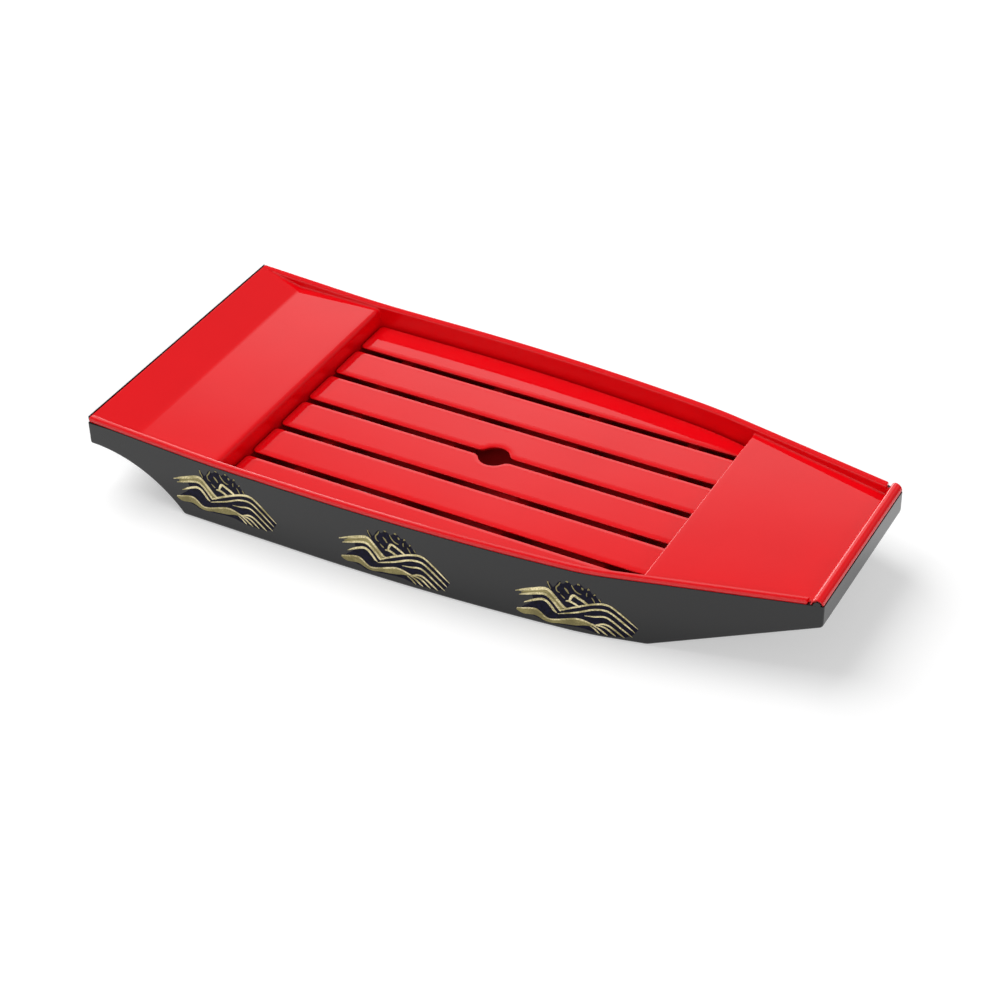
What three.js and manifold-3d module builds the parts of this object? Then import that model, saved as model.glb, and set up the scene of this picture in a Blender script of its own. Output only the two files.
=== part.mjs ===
// Sushi boat: a lacquered serving boat with a lift-out drain grate.
// Millimetres, +Z up. +X points to the bow, +Y to port, and the origin lies on the table under mid-length.
// A black outer hull holds a red inner tray whose rim caps the hull's sides. In the tray's well stands a
// grate of six slats on four cross battens.

import * as THREE from 'three';
import { mergeVertices } from 'three/addons/utils/BufferGeometryUtils.js';
import Module from 'manifold-3d';

const wasm = await Module();
wasm.setup();

// Overall size
const LENGTH = 315;
const BEAM = 135;
const HEIGHT = 35;

// Plan of the sides: parallel from the stern, then an arc, then straight from a knuckle to the bow
const BOW_BEAM = 80.6;
const PARALLEL_LENGTH = 102.5;
const KNUCKLE_TAPER = 14.2;
const BOW_TAPER_LENGTH = 87.5;

// Sheer line: level amidships, rising to the stern and to the bow
const STERN_RISE = 3.1;
const STERN_RISE_LENGTH = 74.5;
const STERN_RISE_BLEND = 30;
const BOW_RISE = 2.6;
const BOW_RISE_LENGTH = 93.5;
const BOW_RISE_BLEND = 8;

// Side view of the bottom: a hollow arc under the stern and a straight rake under the bow.
// The flat floor reaches past the tray's well at both ends.
const STERN_EDGE_HEIGHT = 13.2;
const STERN_FLOOR_LEAD = 15.5;
const BOW_EDGE_HEIGHT = 13;
const BOW_FLOOR_LEAD = 2.25;
const BOW_CORNER_RADIUS = 2;

// Walls and the gap that is kept where two pieces meet
const CLEARANCE = 0.3;
const HULL_WALL = 1.6;
const HULL_FLOOR = 2;
const TRAY_WALL = 1.5;
const TRAY_SHEET = 2;

// Rim of the tray, which sits on the hull's top edge a little inside its face
const RIM_HEIGHT = 2;
const RIM_FLAT = 0.75;
const RIM_LEDGE = 0.25;

// Lip of the tray, hooked over the round-topped bow wall
const LIP_SKIN = 0.8;
const LIP_LEG = 0.2;
const LIP_NOTCH = 1.2;
const BOW_CORE = 2.8;

// Decks and well: depths are measured down from the level part of the sheer line
const STERN_SLOPE_LENGTH = 21;
const STERN_DECK_LENGTH = 41;
const STERN_DECK_DROP = 1.9;
const BOW_DECK_LENGTH = 64;
const BOW_DECK_DROP = 2.4;
const GRATE_DROP = 9.4;

// Drain grate
const GRATE_GAP = 0.9;
const SLAT_COUNT = 6;
const SLAT_THICKNESS = 3;
const SLAT_CORNER = 2.2;
const SLAT_CORNER_SHARE = 0.3;
const SLAT_BEVEL = 0.5;
const SLOT_WIDTH = 3.4;
const FINGER_HOLE_DIAMETER = 13;
const FINGER_HOLE_BLEND = 4;
const BATTEN_COUNT = 4;
const BATTEN_THICKNESS = 5;
const BATTEN_CORNER = 3;
const BATTEN_INSET = 3;

// Fineness of the curves
const STATION_STEP = 9;
const STATION_MARGIN = 0.01;
const ARC_STEPS = 8;
const CORNER_STEPS = 4;
const CUT_MARGIN = 10;
const JOIN_OVERLAP = 0.4;

// Places worked out from the sizes above
const STERN_X = -LENGTH / 2;
const BOW_X = LENGTH / 2;
const RIM_WIDTH = HULL_WALL + CLEARANCE + TRAY_WALL;
const RIM_ROUND = (RIM_WIDTH - RIM_LEDGE - RIM_FLAT) / 2;
const LIP_OUTER_X = BOW_X - RIM_LEDGE;
const BOW_CORE_X = LIP_OUTER_X - LIP_SKIN - CLEARANCE;
const BOW_WALL_X = BOW_CORE_X - BOW_CORE;
const LIP_LEG_X = BOW_WALL_X - CLEARANCE;
const LIP_INNER_X = LIP_LEG_X - LIP_SKIN;
const LIP_RADIUS = (LIP_OUTER_X - LIP_INNER_X) / 2;
const LIP_CENTRE_X = LIP_OUTER_X - LIP_RADIUS;
const LIP_CENTRE_Z = HEIGHT - LIP_RADIUS;
const RIM_END_X = LIP_INNER_X - LIP_NOTCH;

const SHEER_MID = LIP_CENTRE_Z - LIP_LEG + RIM_HEIGHT - rise(LIP_LEG_X);
const STERN_TOP = sheer(STERN_X);

const CREASE_X = STERN_X + STERN_SLOPE_LENGTH;
const STERN_STEP_X = CREASE_X + STERN_DECK_LENGTH;
const BOW_STEP_X = LIP_INNER_X - BOW_DECK_LENGTH;
const STERN_DECK_Z = SHEER_MID - STERN_DECK_DROP;
const BOW_DECK_Z = SHEER_MID - BOW_DECK_DROP;
const WELL_UNDER_Z = HULL_FLOOR + CLEARANCE;
const WELL_FLOOR_Z = WELL_UNDER_Z + TRAY_SHEET;
const FLOOR_STERN_X = STERN_STEP_X - TRAY_SHEET - STERN_FLOOR_LEAD;
const FLOOR_BOW_X = BOW_STEP_X + TRAY_SHEET + BOW_FLOOR_LEAD;

const PARALLEL_END_X = STERN_X + PARALLEL_LENGTH;
const KNUCKLE_X = BOW_X - BOW_TAPER_LENGTH;
const KNUCKLE_BEAM = BEAM - KNUCKLE_TAPER;

const GRATE_TOP_Z = SHEER_MID - GRATE_DROP;
const GRATE_STERN_X = STERN_STEP_X + GRATE_GAP;
const GRATE_BOW_X = BOW_STEP_X - GRATE_GAP;
const GRATE_CENTRE_X = (GRATE_STERN_X + GRATE_BOW_X) / 2;
const GRATE_INSET = RIM_WIDTH + GRATE_GAP;
const SLOT_PITCH = (BEAM - 2 * GRATE_INSET + SLOT_WIDTH) / SLAT_COUNT;
const HOLE_SLOT = Math.floor(SLAT_COUNT / 2);
const BATTEN_SPACING = (GRATE_BOW_X - GRATE_STERN_X) / BATTEN_COUNT;

// Lacquer colours
const BLACK_LACQUER = { color: 0x101012, roughness: 0.12, metalness: 0 };
const RED_LACQUER = { color: 0xcf0d17, roughness: 0.08, metalness: 0 };

// Half-width of the hull's outer face at a place along the length
function halfBeam(x) {
  if (x > KNUCKLE_X) {
    return (KNUCKLE_BEAM + (BOW_BEAM - KNUCKLE_BEAM) * (x - KNUCKLE_X) / BOW_TAPER_LENGTH) / 2;
  }
  const along = Math.max(0, x - PARALLEL_END_X) / (KNUCKLE_X - PARALLEL_END_X);
  return (BEAM - KNUCKLE_TAPER * along ** 2) / 2;
}

// A ramp that starts level, bends over a blend length and then climbs at slope one
function ramp(run, blend) {
  if (run <= 0) return 0;
  if (run < blend) return run * run / (2 * blend);
  return run - blend / 2;
}

// Height of the gunwale above its level part, and above the table
function rise(x) {
  const stern = ramp(STERN_X + STERN_RISE_LENGTH - x, STERN_RISE_BLEND);
  const bow = ramp(x - BOW_X + BOW_RISE_LENGTH, BOW_RISE_BLEND);
  const fullStern = ramp(STERN_RISE_LENGTH, STERN_RISE_BLEND);
  const fullBow = ramp(BOW_RISE_LENGTH, BOW_RISE_BLEND);
  return STERN_RISE * stern / fullStern + BOW_RISE * bow / fullBow;
}

function sheer(x) {
  return SHEER_MID + rise(x);
}

// Places along the length where the curved sides and the sheer line get a vertex
const FIXED_STATIONS = [PARALLEL_END_X, KNUCKLE_X];

function stationsBetween(from, to, margin = STATION_MARGIN) {
  const steps = Math.round(LENGTH / STATION_STEP);
  const even = Array.from({ length: steps + 1 }, (_, i) => STERN_X + LENGTH * i / steps);
  const clear = even.filter((x) => FIXED_STATIONS.every((f) => Math.abs(x - f) > STATION_STEP / 3));
  const inside = [...clear, ...FIXED_STATIONS].filter((x) => x > from + margin && x < to - margin);
  return [from, ...inside.sort((a, b) => a - b), to];
}

// Points of a circular arc, both ends included
function arc(cx, cy, radius, startAngle, endAngle, steps = ARC_STEPS) {
  return Array.from({ length: steps + 1 }, (_, i) => {
    const angle = startAngle + (endAngle - startAngle) * i / steps;
    return [cx + radius * Math.cos(angle), cy + radius * Math.sin(angle)];
  });
}

// The tangent arc that rounds the corner b between the points a and c
function roundedCorner(a, b, c, radius) {
  const corner = new THREE.Vector2(...b);
  const toA = new THREE.Vector2(...a).sub(corner).normalize();
  const toC = new THREE.Vector2(...c).sub(corner).normalize();
  const half = Math.acos(toA.dot(toC)) / 2;
  const centre = toA.clone().add(toC).normalize().multiplyScalar(radius / Math.sin(half)).add(corner);
  const start = toA.multiplyScalar(radius / Math.tan(half)).add(corner).sub(centre);
  const end = toC.multiplyScalar(radius / Math.tan(half)).add(corner).sub(centre);
  const turn = Math.atan2(start.cross(end), start.dot(end));
  return arc(centre.x, centre.y, radius, start.angle(), start.angle() + turn, CORNER_STEPS);
}

function shapeOf(points) {
  return new THREE.Shape(points.map(([x, y]) => new THREE.Vector2(x, y)));
}

// Booleans on closed geometries
function solid(geometry) {
  const bare = geometry.clone();
  bare.deleteAttribute('normal');
  bare.deleteAttribute('uv');
  const merged = mergeVertices(bare);
  return new wasm.Manifold(new wasm.Mesh({
    numProp: 3,
    vertProperties: new Float32Array(merged.getAttribute('position').array),
    triVerts: new Uint32Array(merged.getIndex().array),
  }));
}

function geometryOf(body) {
  const mesh = body.getMesh();
  const geometry = new THREE.BufferGeometry();
  geometry.setAttribute('position', new THREE.BufferAttribute(mesh.vertProperties, mesh.numProp));
  geometry.setIndex(new THREE.BufferAttribute(mesh.triVerts, 1));
  geometry.computeVertexNormals();
  return geometry;
}

// A plan outline pushed up through the whole height, inset from the hull's outer face
function planSolid(inset, fromX, toX) {
  const port = stationsBetween(fromX, toX).map((x) => [x, halfBeam(x) - inset]);
  const starboard = port.map(([x, y]) => [x, -y]);
  const depth = HEIGHT + 2 * CUT_MARGIN;
  const outline = shapeOf([...starboard, ...port.reverse()]);
  const geometry = new THREE.ExtrudeGeometry(outline, { depth, bevelEnabled: false });
  return solid(geometry.translate(0, 0, -CUT_MARGIN));
}

// A side-view outline pushed across the whole beam
function sideSolid(points) {
  const depth = BEAM + 2 * CUT_MARGIN;
  const geometry = new THREE.ExtrudeGeometry(shapeOf(points), { depth, bevelEnabled: false });
  return solid(geometry.rotateX(Math.PI / 2).translate(0, depth / 2, 0));
}

// A skin over a row of like sections, each an outline in a plane across X
function loft(sections) {
  const count = sections[0].length;
  const index = [];
  for (let s = 0; s + 1 < sections.length; s += 1) {
    for (let p = 0; p < count; p += 1) {
      const a = s * count + p;
      const b = s * count + (p + 1) % count;
      index.push(a, b, a + count, b, b + count, a + count);
    }
  }
  const outline = sections[0].map((v) => new THREE.Vector2(v.y, v.z));
  const last = (sections.length - 1) * count;
  for (const [a, b, c] of THREE.ShapeUtils.triangulateShape(outline, [])) {
    index.push(c, b, a, last + a, last + b, last + c);
  }
  const geometry = new THREE.BufferGeometry().setFromPoints(sections.flat());
  geometry.setIndex(index);
  return solid(geometry);
}

// The sheer line as side-view points, lowered by a drop
function sheerLine(fromX, toX, drop) {
  return stationsBetween(fromX, toX).map((x) => [x, sheer(x) - drop]);
}

// Bottom outline of the hull in side view from stern to bow, raised by a thickness
function bottomLine(thickness) {
  const sternEdgeZ = STERN_TOP - STERN_EDGE_HEIGHT;
  const sternRake = FLOOR_STERN_X - STERN_X;
  const rakeRadius = (sternRake ** 2 + sternEdgeZ ** 2) / (2 * sternEdgeZ);
  const centreZ = sternEdgeZ - rakeRadius;
  const floorAngle = Math.asin((thickness - centreZ) / (rakeRadius + thickness));
  const stern = arc(STERN_X, centreZ, rakeRadius + thickness, Math.PI / 2, floorAngle);
  const bowEdgeZ = HEIGHT - BOW_EDGE_HEIGHT;
  const slope = bowEdgeZ / (BOW_X - FLOOR_BOW_X);
  const lift = thickness * Math.hypot(1, slope);
  const kneeX = FLOOR_BOW_X + (thickness - lift) / slope;
  return [...stern, [kneeX, thickness], [BOW_X, bowEdgeZ + lift]];
}

// Black outer hull: an open shell whose bow wall ends in a round top under the tray's lip
function outerHull() {
  const bottom = bottomLine(0);
  const corner = bottom.pop();
  const shoulderZ = LIP_CENTRE_Z - CLEARANCE;
  const rounded = roundedCorner(bottom.at(-1), corner, [BOW_X, shoulderZ], BOW_CORNER_RADIUS);
  const coreRadius = BOW_CORE / 2;
  const coreTop = arc(LIP_CENTRE_X, LIP_CENTRE_Z, coreRadius, 0, Math.PI);
  const sides = sheerLine(STERN_X, BOW_WALL_X, RIM_HEIGHT + CLEARANCE).reverse();
  const outline = [...bottom, ...rounded, [BOW_X, shoulderZ], [BOW_CORE_X, shoulderZ], ...coreTop, ...sides];
  const outer = planSolid(0, STERN_X, BOW_X).intersect(sideSolid(outline));

  const inside = bottomLine(HULL_FLOOR);
  const above = HEIGHT + CUT_MARGIN;
  const hollow = planSolid(HULL_WALL, STERN_X + HULL_WALL, BOW_WALL_X)
    .intersect(sideSolid([...inside, [BOW_X, above], [STERN_X, above]]));
  return outer.subtract(hollow);
}

// Height of the sloped stern panel
function slopeZ(x) {
  return STERN_TOP + (STERN_DECK_Z - STERN_TOP) * (x - STERN_X) / STERN_SLOPE_LENGTH;
}

// Top faces of the tray in side view, from a point on the stern slope to the bow lip
function trayTopLine(fromX) {
  return [
    [fromX, slopeZ(fromX)],
    [CREASE_X, STERN_DECK_Z],
    [STERN_STEP_X, STERN_DECK_Z],
    [STERN_STEP_X, WELL_FLOOR_Z],
    [BOW_STEP_X, WELL_FLOOR_Z],
    [BOW_STEP_X, BOW_DECK_Z],
    [LIP_INNER_X, BOW_DECK_Z],
  ];
}

// Under faces of the tray's sheet in side view, one sheet thickness below the top faces
function trayUnderLine(fromX) {
  return [
    [fromX, slopeZ(fromX) - TRAY_SHEET],
    [CREASE_X, STERN_DECK_Z - TRAY_SHEET],
    [STERN_STEP_X - TRAY_SHEET, STERN_DECK_Z - TRAY_SHEET],
    [STERN_STEP_X - TRAY_SHEET, WELL_UNDER_Z],
    [BOW_STEP_X + TRAY_SHEET, WELL_UNDER_Z],
    [BOW_STEP_X + TRAY_SHEET, BOW_DECK_Z - TRAY_SHEET],
    [LIP_LEG_X, BOW_DECK_Z - TRAY_SHEET],
  ];
}

// One side of the rim: a strip with a rounded top that follows the gunwale
function rimStrip(side) {
  const sections = stationsBetween(STERN_X + RIM_LEDGE, RIM_END_X).map((x) => {
    const inner = halfBeam(x) - RIM_WIDTH;
    const outer = halfBeam(x) - RIM_LEDGE;
    const top = sheer(x);
    const outline = [
      [inner, top - RIM_HEIGHT],
      [outer, top - RIM_HEIGHT],
      ...arc(outer - RIM_ROUND, top - RIM_ROUND, RIM_ROUND, 0, Math.PI / 2, CORNER_STEPS),
      ...arc(inner + RIM_ROUND, top - RIM_ROUND, RIM_ROUND, Math.PI / 2, Math.PI, CORNER_STEPS),
    ];
    const points = outline.map(([y, z]) => new THREE.Vector3(x, side * y, z));
    return side > 0 ? points : points.reverse();
  });
  return loft(sections);
}

// Half-round lip over the bow wall
function bowLip() {
  const seatZ = LIP_CENTRE_Z - LIP_LEG;
  const outline = [
    [LIP_INNER_X, seatZ],
    [LIP_LEG_X, seatZ],
    ...arc(LIP_CENTRE_X, LIP_CENTRE_Z, LIP_RADIUS - LIP_SKIN, Math.PI, 0),
    ...arc(LIP_CENTRE_X, LIP_CENTRE_Z, LIP_RADIUS, 0, Math.PI, 2 * ARC_STEPS),
  ];
  return planSolid(RIM_LEDGE, LIP_INNER_X - CUT_MARGIN, BOW_X).intersect(sideSolid(outline));
}

// Red inner tray: decks, well and side walls as one sheet, with its rim and lip
function innerTray() {
  const hullInset = HULL_WALL + CLEARANCE;
  const sternInsideX = STERN_X + hullInset;
  const wallTop = sheerLine(sternInsideX, LIP_LEG_X, RIM_HEIGHT - JOIN_OVERLAP).reverse();
  const block = planSolid(hullInset, sternInsideX, LIP_LEG_X)
    .intersect(sideSolid([...trayUnderLine(sternInsideX), ...wallTop]));

  const above = HEIGHT + CUT_MARGIN;
  const pastStern = STERN_X - CUT_MARGIN;
  const pocket = planSolid(RIM_WIDTH, pastStern, LIP_INNER_X)
    .intersect(sideSolid([...trayTopLine(pastStern), [LIP_INNER_X, above], [pastStern, above]]));

  const sternEndX = STERN_X + RIM_LEDGE;
  const capUnderZ = STERN_TOP - RIM_HEIGHT;
  const capEndX = sternInsideX + JOIN_OVERLAP;
  const capOutline = [
    [sternEndX, capUnderZ], [capEndX, capUnderZ], [capEndX, slopeZ(capEndX)], [sternEndX, slopeZ(sternEndX)],
  ];
  const sternCap = planSolid(RIM_WIDTH - RIM_ROUND, sternEndX, CREASE_X).intersect(sideSolid(capOutline));

  const slopeOutline = [
    [sternInsideX, slopeZ(sternInsideX) - TRAY_SHEET], [CREASE_X, STERN_DECK_Z - TRAY_SHEET],
    [CREASE_X, STERN_DECK_Z], [sternInsideX, slopeZ(sternInsideX)],
  ];
  const slope = planSolid(RIM_WIDTH - RIM_ROUND, sternInsideX, CREASE_X).intersect(sideSolid(slopeOutline));

  return [rimStrip(1), rimStrip(-1), sternCap, slope, bowLip()]
    .reduce((tray, piece) => tray.add(piece), block.subtract(pocket));
}

// Middle of the slot, or of the grate's outer line, on the low side of a slat
function slotLine(number) {
  return (number - SLAT_COUNT / 2) * SLOT_PITCH;
}

// Edge of a slat along a slot, stern to bow, with half of the finger hole where the slot has it
function slotEdge(slot, side) {
  const line = slotLine(slot);
  const half = SLOT_WIDTH / 2;
  const ends = [GRATE_STERN_X, GRATE_BOW_X].map((x) => [x, line + side * half]);
  if (slot !== HOLE_SLOT) return ends;
  const radius = FINGER_HOLE_DIAMETER / 2;
  const blendY = half + FINGER_HOLE_BLEND;
  const blendX = Math.sqrt((radius + FINGER_HOLE_BLEND) ** 2 - blendY ** 2);
  const tilt = Math.atan2(blendY, blendX);
  const notch = [
    ...arc(-blendX, blendY, FINGER_HOLE_BLEND, -Math.PI / 2, -tilt, CORNER_STEPS),
    ...arc(0, 0, radius, Math.PI - tilt, tilt).slice(1, -1),
    ...arc(blendX, blendY, FINGER_HOLE_BLEND, Math.PI + tilt, 1.5 * Math.PI, CORNER_STEPS),
  ];
  const placed = notch.map(([x, y]) => [GRATE_CENTRE_X + x, line + side * y]);
  return [ends[0], ...placed, ends[1]];
}

// Outer edge of an outermost slat, stern to bow, which follows the tray's side wall
function hullEdge(side) {
  const stations = stationsBetween(GRATE_STERN_X, GRATE_BOW_X, 2 * SLAT_CORNER);
  return stations.map((x) => [x, side * (halfBeam(x) - GRATE_INSET)]);
}

// One slat: a bar with rounded ends and eased edges
function slat(number) {
  const low = number === 0 ? hullEdge(-1) : slotEdge(number, 1);
  const high = number === SLAT_COUNT - 1 ? hullEdge(1) : slotEdge(number + 1, -1);
  const ring = [...low, ...high.toReversed()];
  const corners = new Set([0, low.length - 1, low.length, ring.length - 1]);
  const bowWidth = Math.abs(high.at(-1)[1] - low.at(-1)[1]);
  const radius = Math.min(SLAT_CORNER, SLAT_CORNER_SHARE * bowWidth);
  const outline = ring.flatMap((point, i) => {
    if (!corners.has(i)) return [point];
    return roundedCorner(ring.at(i - 1), point, ring[(i + 1) % ring.length], radius);
  });
  const geometry = new THREE.ExtrudeGeometry(shapeOf(outline), {
    depth: SLAT_THICKNESS - 2 * SLAT_BEVEL,
    bevelThickness: SLAT_BEVEL,
    bevelSize: SLAT_BEVEL,
    bevelOffset: -SLAT_BEVEL,
    bevelSegments: 2,
  });
  return geometry.translate(0, 0, GRATE_TOP_Z - SLAT_THICKNESS + SLAT_BEVEL);
}

// One cross batten: a bar under the slats that stands on the well's floor, with its lower corners rounded
function batten(number) {
  const x = GRATE_CENTRE_X + (number - (BATTEN_COUNT - 1) / 2) * BATTEN_SPACING;
  const bowFaceX = x + BATTEN_THICKNESS / 2;
  const reach = halfBeam(bowFaceX) - GRATE_INSET - BATTEN_INSET;
  const top = GRATE_TOP_Z - SLAT_THICKNESS - CLEARANCE;
  const foot = WELL_FLOOR_Z + CLEARANCE;
  const outline = [
    [-reach, top],
    ...roundedCorner([-reach, top], [-reach, foot], [reach, foot], BATTEN_CORNER),
    ...roundedCorner([-reach, foot], [reach, foot], [reach, top], BATTEN_CORNER),
    [reach, top],
  ];
  const geometry = new THREE.ExtrudeGeometry(shapeOf(outline), {
    depth: BATTEN_THICKNESS, bevelEnabled: false,
  });
  geometry.rotateX(Math.PI / 2).rotateZ(Math.PI / 2);
  return geometry.translate(x - BATTEN_THICKNESS / 2, 0, 0);
}

function piece(name, geometry, lacquer) {
  const mesh = new THREE.Mesh(geometry, new THREE.MeshStandardMaterial(lacquer));
  mesh.name = name;
  return mesh;
}

const boat = new THREE.Group();
boat.add(piece('outer_hull', geometryOf(outerHull()), BLACK_LACQUER));
boat.add(piece('inner_tray', geometryOf(innerTray()), RED_LACQUER));

const grate = new THREE.Group();
for (let i = 0; i < SLAT_COUNT; i += 1) {
  grate.add(piece(`grate_slat_${i + 1}`, slat(i), RED_LACQUER));
}
for (let i = 0; i < BATTEN_COUNT; i += 1) {
  grate.add(piece(`grate_batten_${i + 1}`, batten(i), RED_LACQUER));
}
boat.add(grate);

export default boat;
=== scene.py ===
import math
import random

import bmesh
import bpy
from bpy.props import FloatProperty, FloatVectorProperty, IntProperty, PointerProperty
from mathutils import Matrix, Vector


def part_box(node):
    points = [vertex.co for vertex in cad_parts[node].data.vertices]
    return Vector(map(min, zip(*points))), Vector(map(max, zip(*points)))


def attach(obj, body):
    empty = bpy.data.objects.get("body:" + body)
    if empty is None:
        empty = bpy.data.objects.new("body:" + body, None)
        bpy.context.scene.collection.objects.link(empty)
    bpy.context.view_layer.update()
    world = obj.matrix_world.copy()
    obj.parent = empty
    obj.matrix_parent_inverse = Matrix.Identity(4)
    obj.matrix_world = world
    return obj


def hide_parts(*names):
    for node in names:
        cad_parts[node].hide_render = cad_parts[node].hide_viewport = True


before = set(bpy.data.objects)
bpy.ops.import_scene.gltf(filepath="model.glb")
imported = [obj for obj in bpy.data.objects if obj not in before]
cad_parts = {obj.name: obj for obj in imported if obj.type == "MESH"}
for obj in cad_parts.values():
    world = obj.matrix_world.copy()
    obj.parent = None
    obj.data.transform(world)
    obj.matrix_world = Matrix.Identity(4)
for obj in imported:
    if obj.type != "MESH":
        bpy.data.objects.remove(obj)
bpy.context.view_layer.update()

bl_info = {
    "name": "Sushi boat",
    "version": (1, 0, 0),
    "blender": (4, 5, 0),
    "location": "View3D > Sidebar > Sushi boat",
    "description": "Dresses the packed sushi boat: hull, tray, bow lip, drain grate, wave print and stage",
    "category": "Object",
}

# Shapes below are worked out in millimetres and turned to metres when a mesh is made
MM = 0.001
HULL_LOW, HULL_HIGH = (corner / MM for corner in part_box("outer_hull"))
TRAY_LOW, TRAY_HIGH = (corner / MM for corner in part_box("inner_tray"))
SLAT_LOW, SLAT_HIGH = (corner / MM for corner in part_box("grate_slat_3"))
STERN_X = HULL_LOW.x
BOW_X = HULL_HIGH.x
BEAM = HULL_HIGH.y - HULL_LOW.y
HEIGHT = TRAY_HIGH.z

# Plan of the sides: parallel from the stern, then an arc, then straight from a knuckle to the bow
BOW_BEAM = 80.6
PARALLEL_LENGTH = 102.5
KNUCKLE_TAPER = 14.2
BOW_TAPER_LENGTH = 87.5
KNUCKLE_BLEND = 9
PARALLEL_END_X = STERN_X + PARALLEL_LENGTH
KNUCKLE_X = BOW_X - BOW_TAPER_LENGTH
KNUCKLE_BEAM = BEAM - KNUCKLE_TAPER

# Sheer line: level amidships, rising to the stern and to the bow
STERN_RISE = 3.1
STERN_RISE_LENGTH = 74.5
STERN_RISE_BLEND = 30
BOW_RISE = 2.6
BOW_RISE_LENGTH = 93.5
BOW_RISE_BLEND = 8

# Side view of the bottom
STERN_EDGE_HEIGHT = 13.2
STERN_FLOOR_LEAD = 15.5
BOW_EDGE_HEIGHT = 13
BOW_FLOOR_LEAD = 2.25
BOW_CORNER_RADIUS = 2

# Walls, rim and lip
CLEARANCE = 0.3
HULL_WALL = 1.6
HULL_INNER_EDGE = 0.1
TRAY_WALL = 1.5
TRAY_SHEET = 2
TRAY_SHELL = 0.8
RIM_HEIGHT = 2
RIM_LEDGE = 0.25
RIM_FLAT = 0.75
RIM_WIDTH = HULL_WALL + CLEARANCE + TRAY_WALL
RIM_ROUND = (RIM_WIDTH - RIM_LEDGE - RIM_FLAT) / 2
RIM_TILT = 14
RIM_TILT_DROP = 1
TRANSOM_EDGE = 0.5
LIP_SKIN = 0.8
LIP_LEG = 0.2
LIP_EDGE = 0.28
LIP_EDGE_TURN = 85
LIP_NOTCH = 1.2
BOW_CORE = 2.8
LIP_OUTER_X = BOW_X - RIM_LEDGE
BOW_CORE_X = LIP_OUTER_X - LIP_SKIN - CLEARANCE
BOW_WALL_X = BOW_CORE_X - BOW_CORE
LIP_LEG_X = BOW_WALL_X - CLEARANCE
LIP_INNER_X = LIP_LEG_X - LIP_SKIN
LIP_RADIUS = (LIP_OUTER_X - LIP_INNER_X) / 2
LIP_CENTRE_X = LIP_OUTER_X - LIP_RADIUS
LIP_CENTRE_Z = HEIGHT - LIP_RADIUS
RIM_END_X = LIP_INNER_X - LIP_NOTCH

# Decks, well and grate
GRATE_GAP = 0.9
STERN_SLOPE_LENGTH = 21
STERN_DECK_DROP = 1.9
BOW_DECK_DROP = 2.4
WELL_FLOOR_Z = TRAY_LOW.z + TRAY_SHEET
CREASE_X = STERN_X + STERN_SLOPE_LENGTH
STERN_STEP_X = SLAT_LOW.x - GRATE_GAP
BOW_STEP_X = SLAT_HIGH.x + GRATE_GAP
FLOOR_STERN_X = STERN_STEP_X - TRAY_SHEET - STERN_FLOOR_LEAD
FLOOR_BOW_X = BOW_STEP_X + TRAY_SHEET + BOW_FLOOR_LEAD
GRATE_CENTRE_X = (SLAT_LOW.x + SLAT_HIGH.x) / 2
GRATE_INSET = RIM_WIDTH + GRATE_GAP
SLAT_COUNT = 6
SLAT_CORNER = 2.2
SLAT_CORNER_SHARE = 0.3
SLAT_CORNER_LEAST = 0.3
FINGER_HOLE_DIAMETER = 13
FINGER_HOLE_BLEND = 4
BATTEN_COUNT = 4

# Fineness of the meshes
STATION_STEP = 2.5
ROUND_STEPS = 8
EDGE_STEPS = 6
RAKE_STEPS = 24
SHARP_ANGLE = math.radians(35)
STEP_FACE = 0.02
MERGE_DISTANCE = 0.0001
SLIVER_LENGTH = 0.00001
QUARTER_TURNS = [math.pi / 2 * i / EDGE_STEPS for i in range(EDGE_STEPS + 1)]

# Camera found from the photograph: degrees, millimetres and a 36 mm sensor
CAMERA_AZIMUTH = 29.3017
CAMERA_ELEVATION = 37.0684
CAMERA_ROLL = 1.3828
CAMERA_PLACE = (394.546, -705.467, 611.542)
CAMERA_LENS = 88.12
CAMERA_SENSOR = 36
CAMERA_CLIP = 10


def linear(hex_colour):
    """Turns an sRGB hex colour to the linear values that Blender works in, by the standard curve."""
    values = []
    for start in (1, 3, 5):
        share = int(hex_colour[start:start + 2], 16) / 255
        values.append(share / 12.92 if share <= 0.04045 else ((share + 0.055) / 1.055) ** 2.4)
    return (*values, 1.0)


# Form of the boat

def half_beam(x):
    """Half-width of the hull's outer face, with the knuckle eased over a short blend."""
    arc_length = KNUCKLE_X - PARALLEL_END_X
    line_slope = (BOW_BEAM - KNUCKLE_BEAM) / BOW_TAPER_LENGTH / 2
    if x > KNUCKLE_X:
        half = KNUCKLE_BEAM / 2 + line_slope * (x - KNUCKLE_X)
    else:
        along = max(0.0, x - PARALLEL_END_X) / arc_length
        half = (BEAM - KNUCKLE_TAPER * along ** 2) / 2
    turn = -KNUCKLE_TAPER / arc_length - line_slope
    reach = max(0.0, KNUCKLE_BLEND - abs(x - KNUCKLE_X))
    return half - turn * reach ** 2 / (4 * KNUCKLE_BLEND)


def ramp(run, blend):
    """A ramp that starts level, bends over a blend length and then climbs at slope one."""
    if run <= 0:
        return 0.0
    if run < blend:
        return run * run / (2 * blend)
    return run - blend / 2


def rise(x):
    """Height of the gunwale above its level part."""
    stern = ramp(STERN_X + STERN_RISE_LENGTH - x, STERN_RISE_BLEND)
    bow = ramp(x - BOW_X + BOW_RISE_LENGTH, BOW_RISE_BLEND)
    full_stern = ramp(STERN_RISE_LENGTH, STERN_RISE_BLEND)
    full_bow = ramp(BOW_RISE_LENGTH, BOW_RISE_BLEND)
    return STERN_RISE * stern / full_stern + BOW_RISE * bow / full_bow


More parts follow.
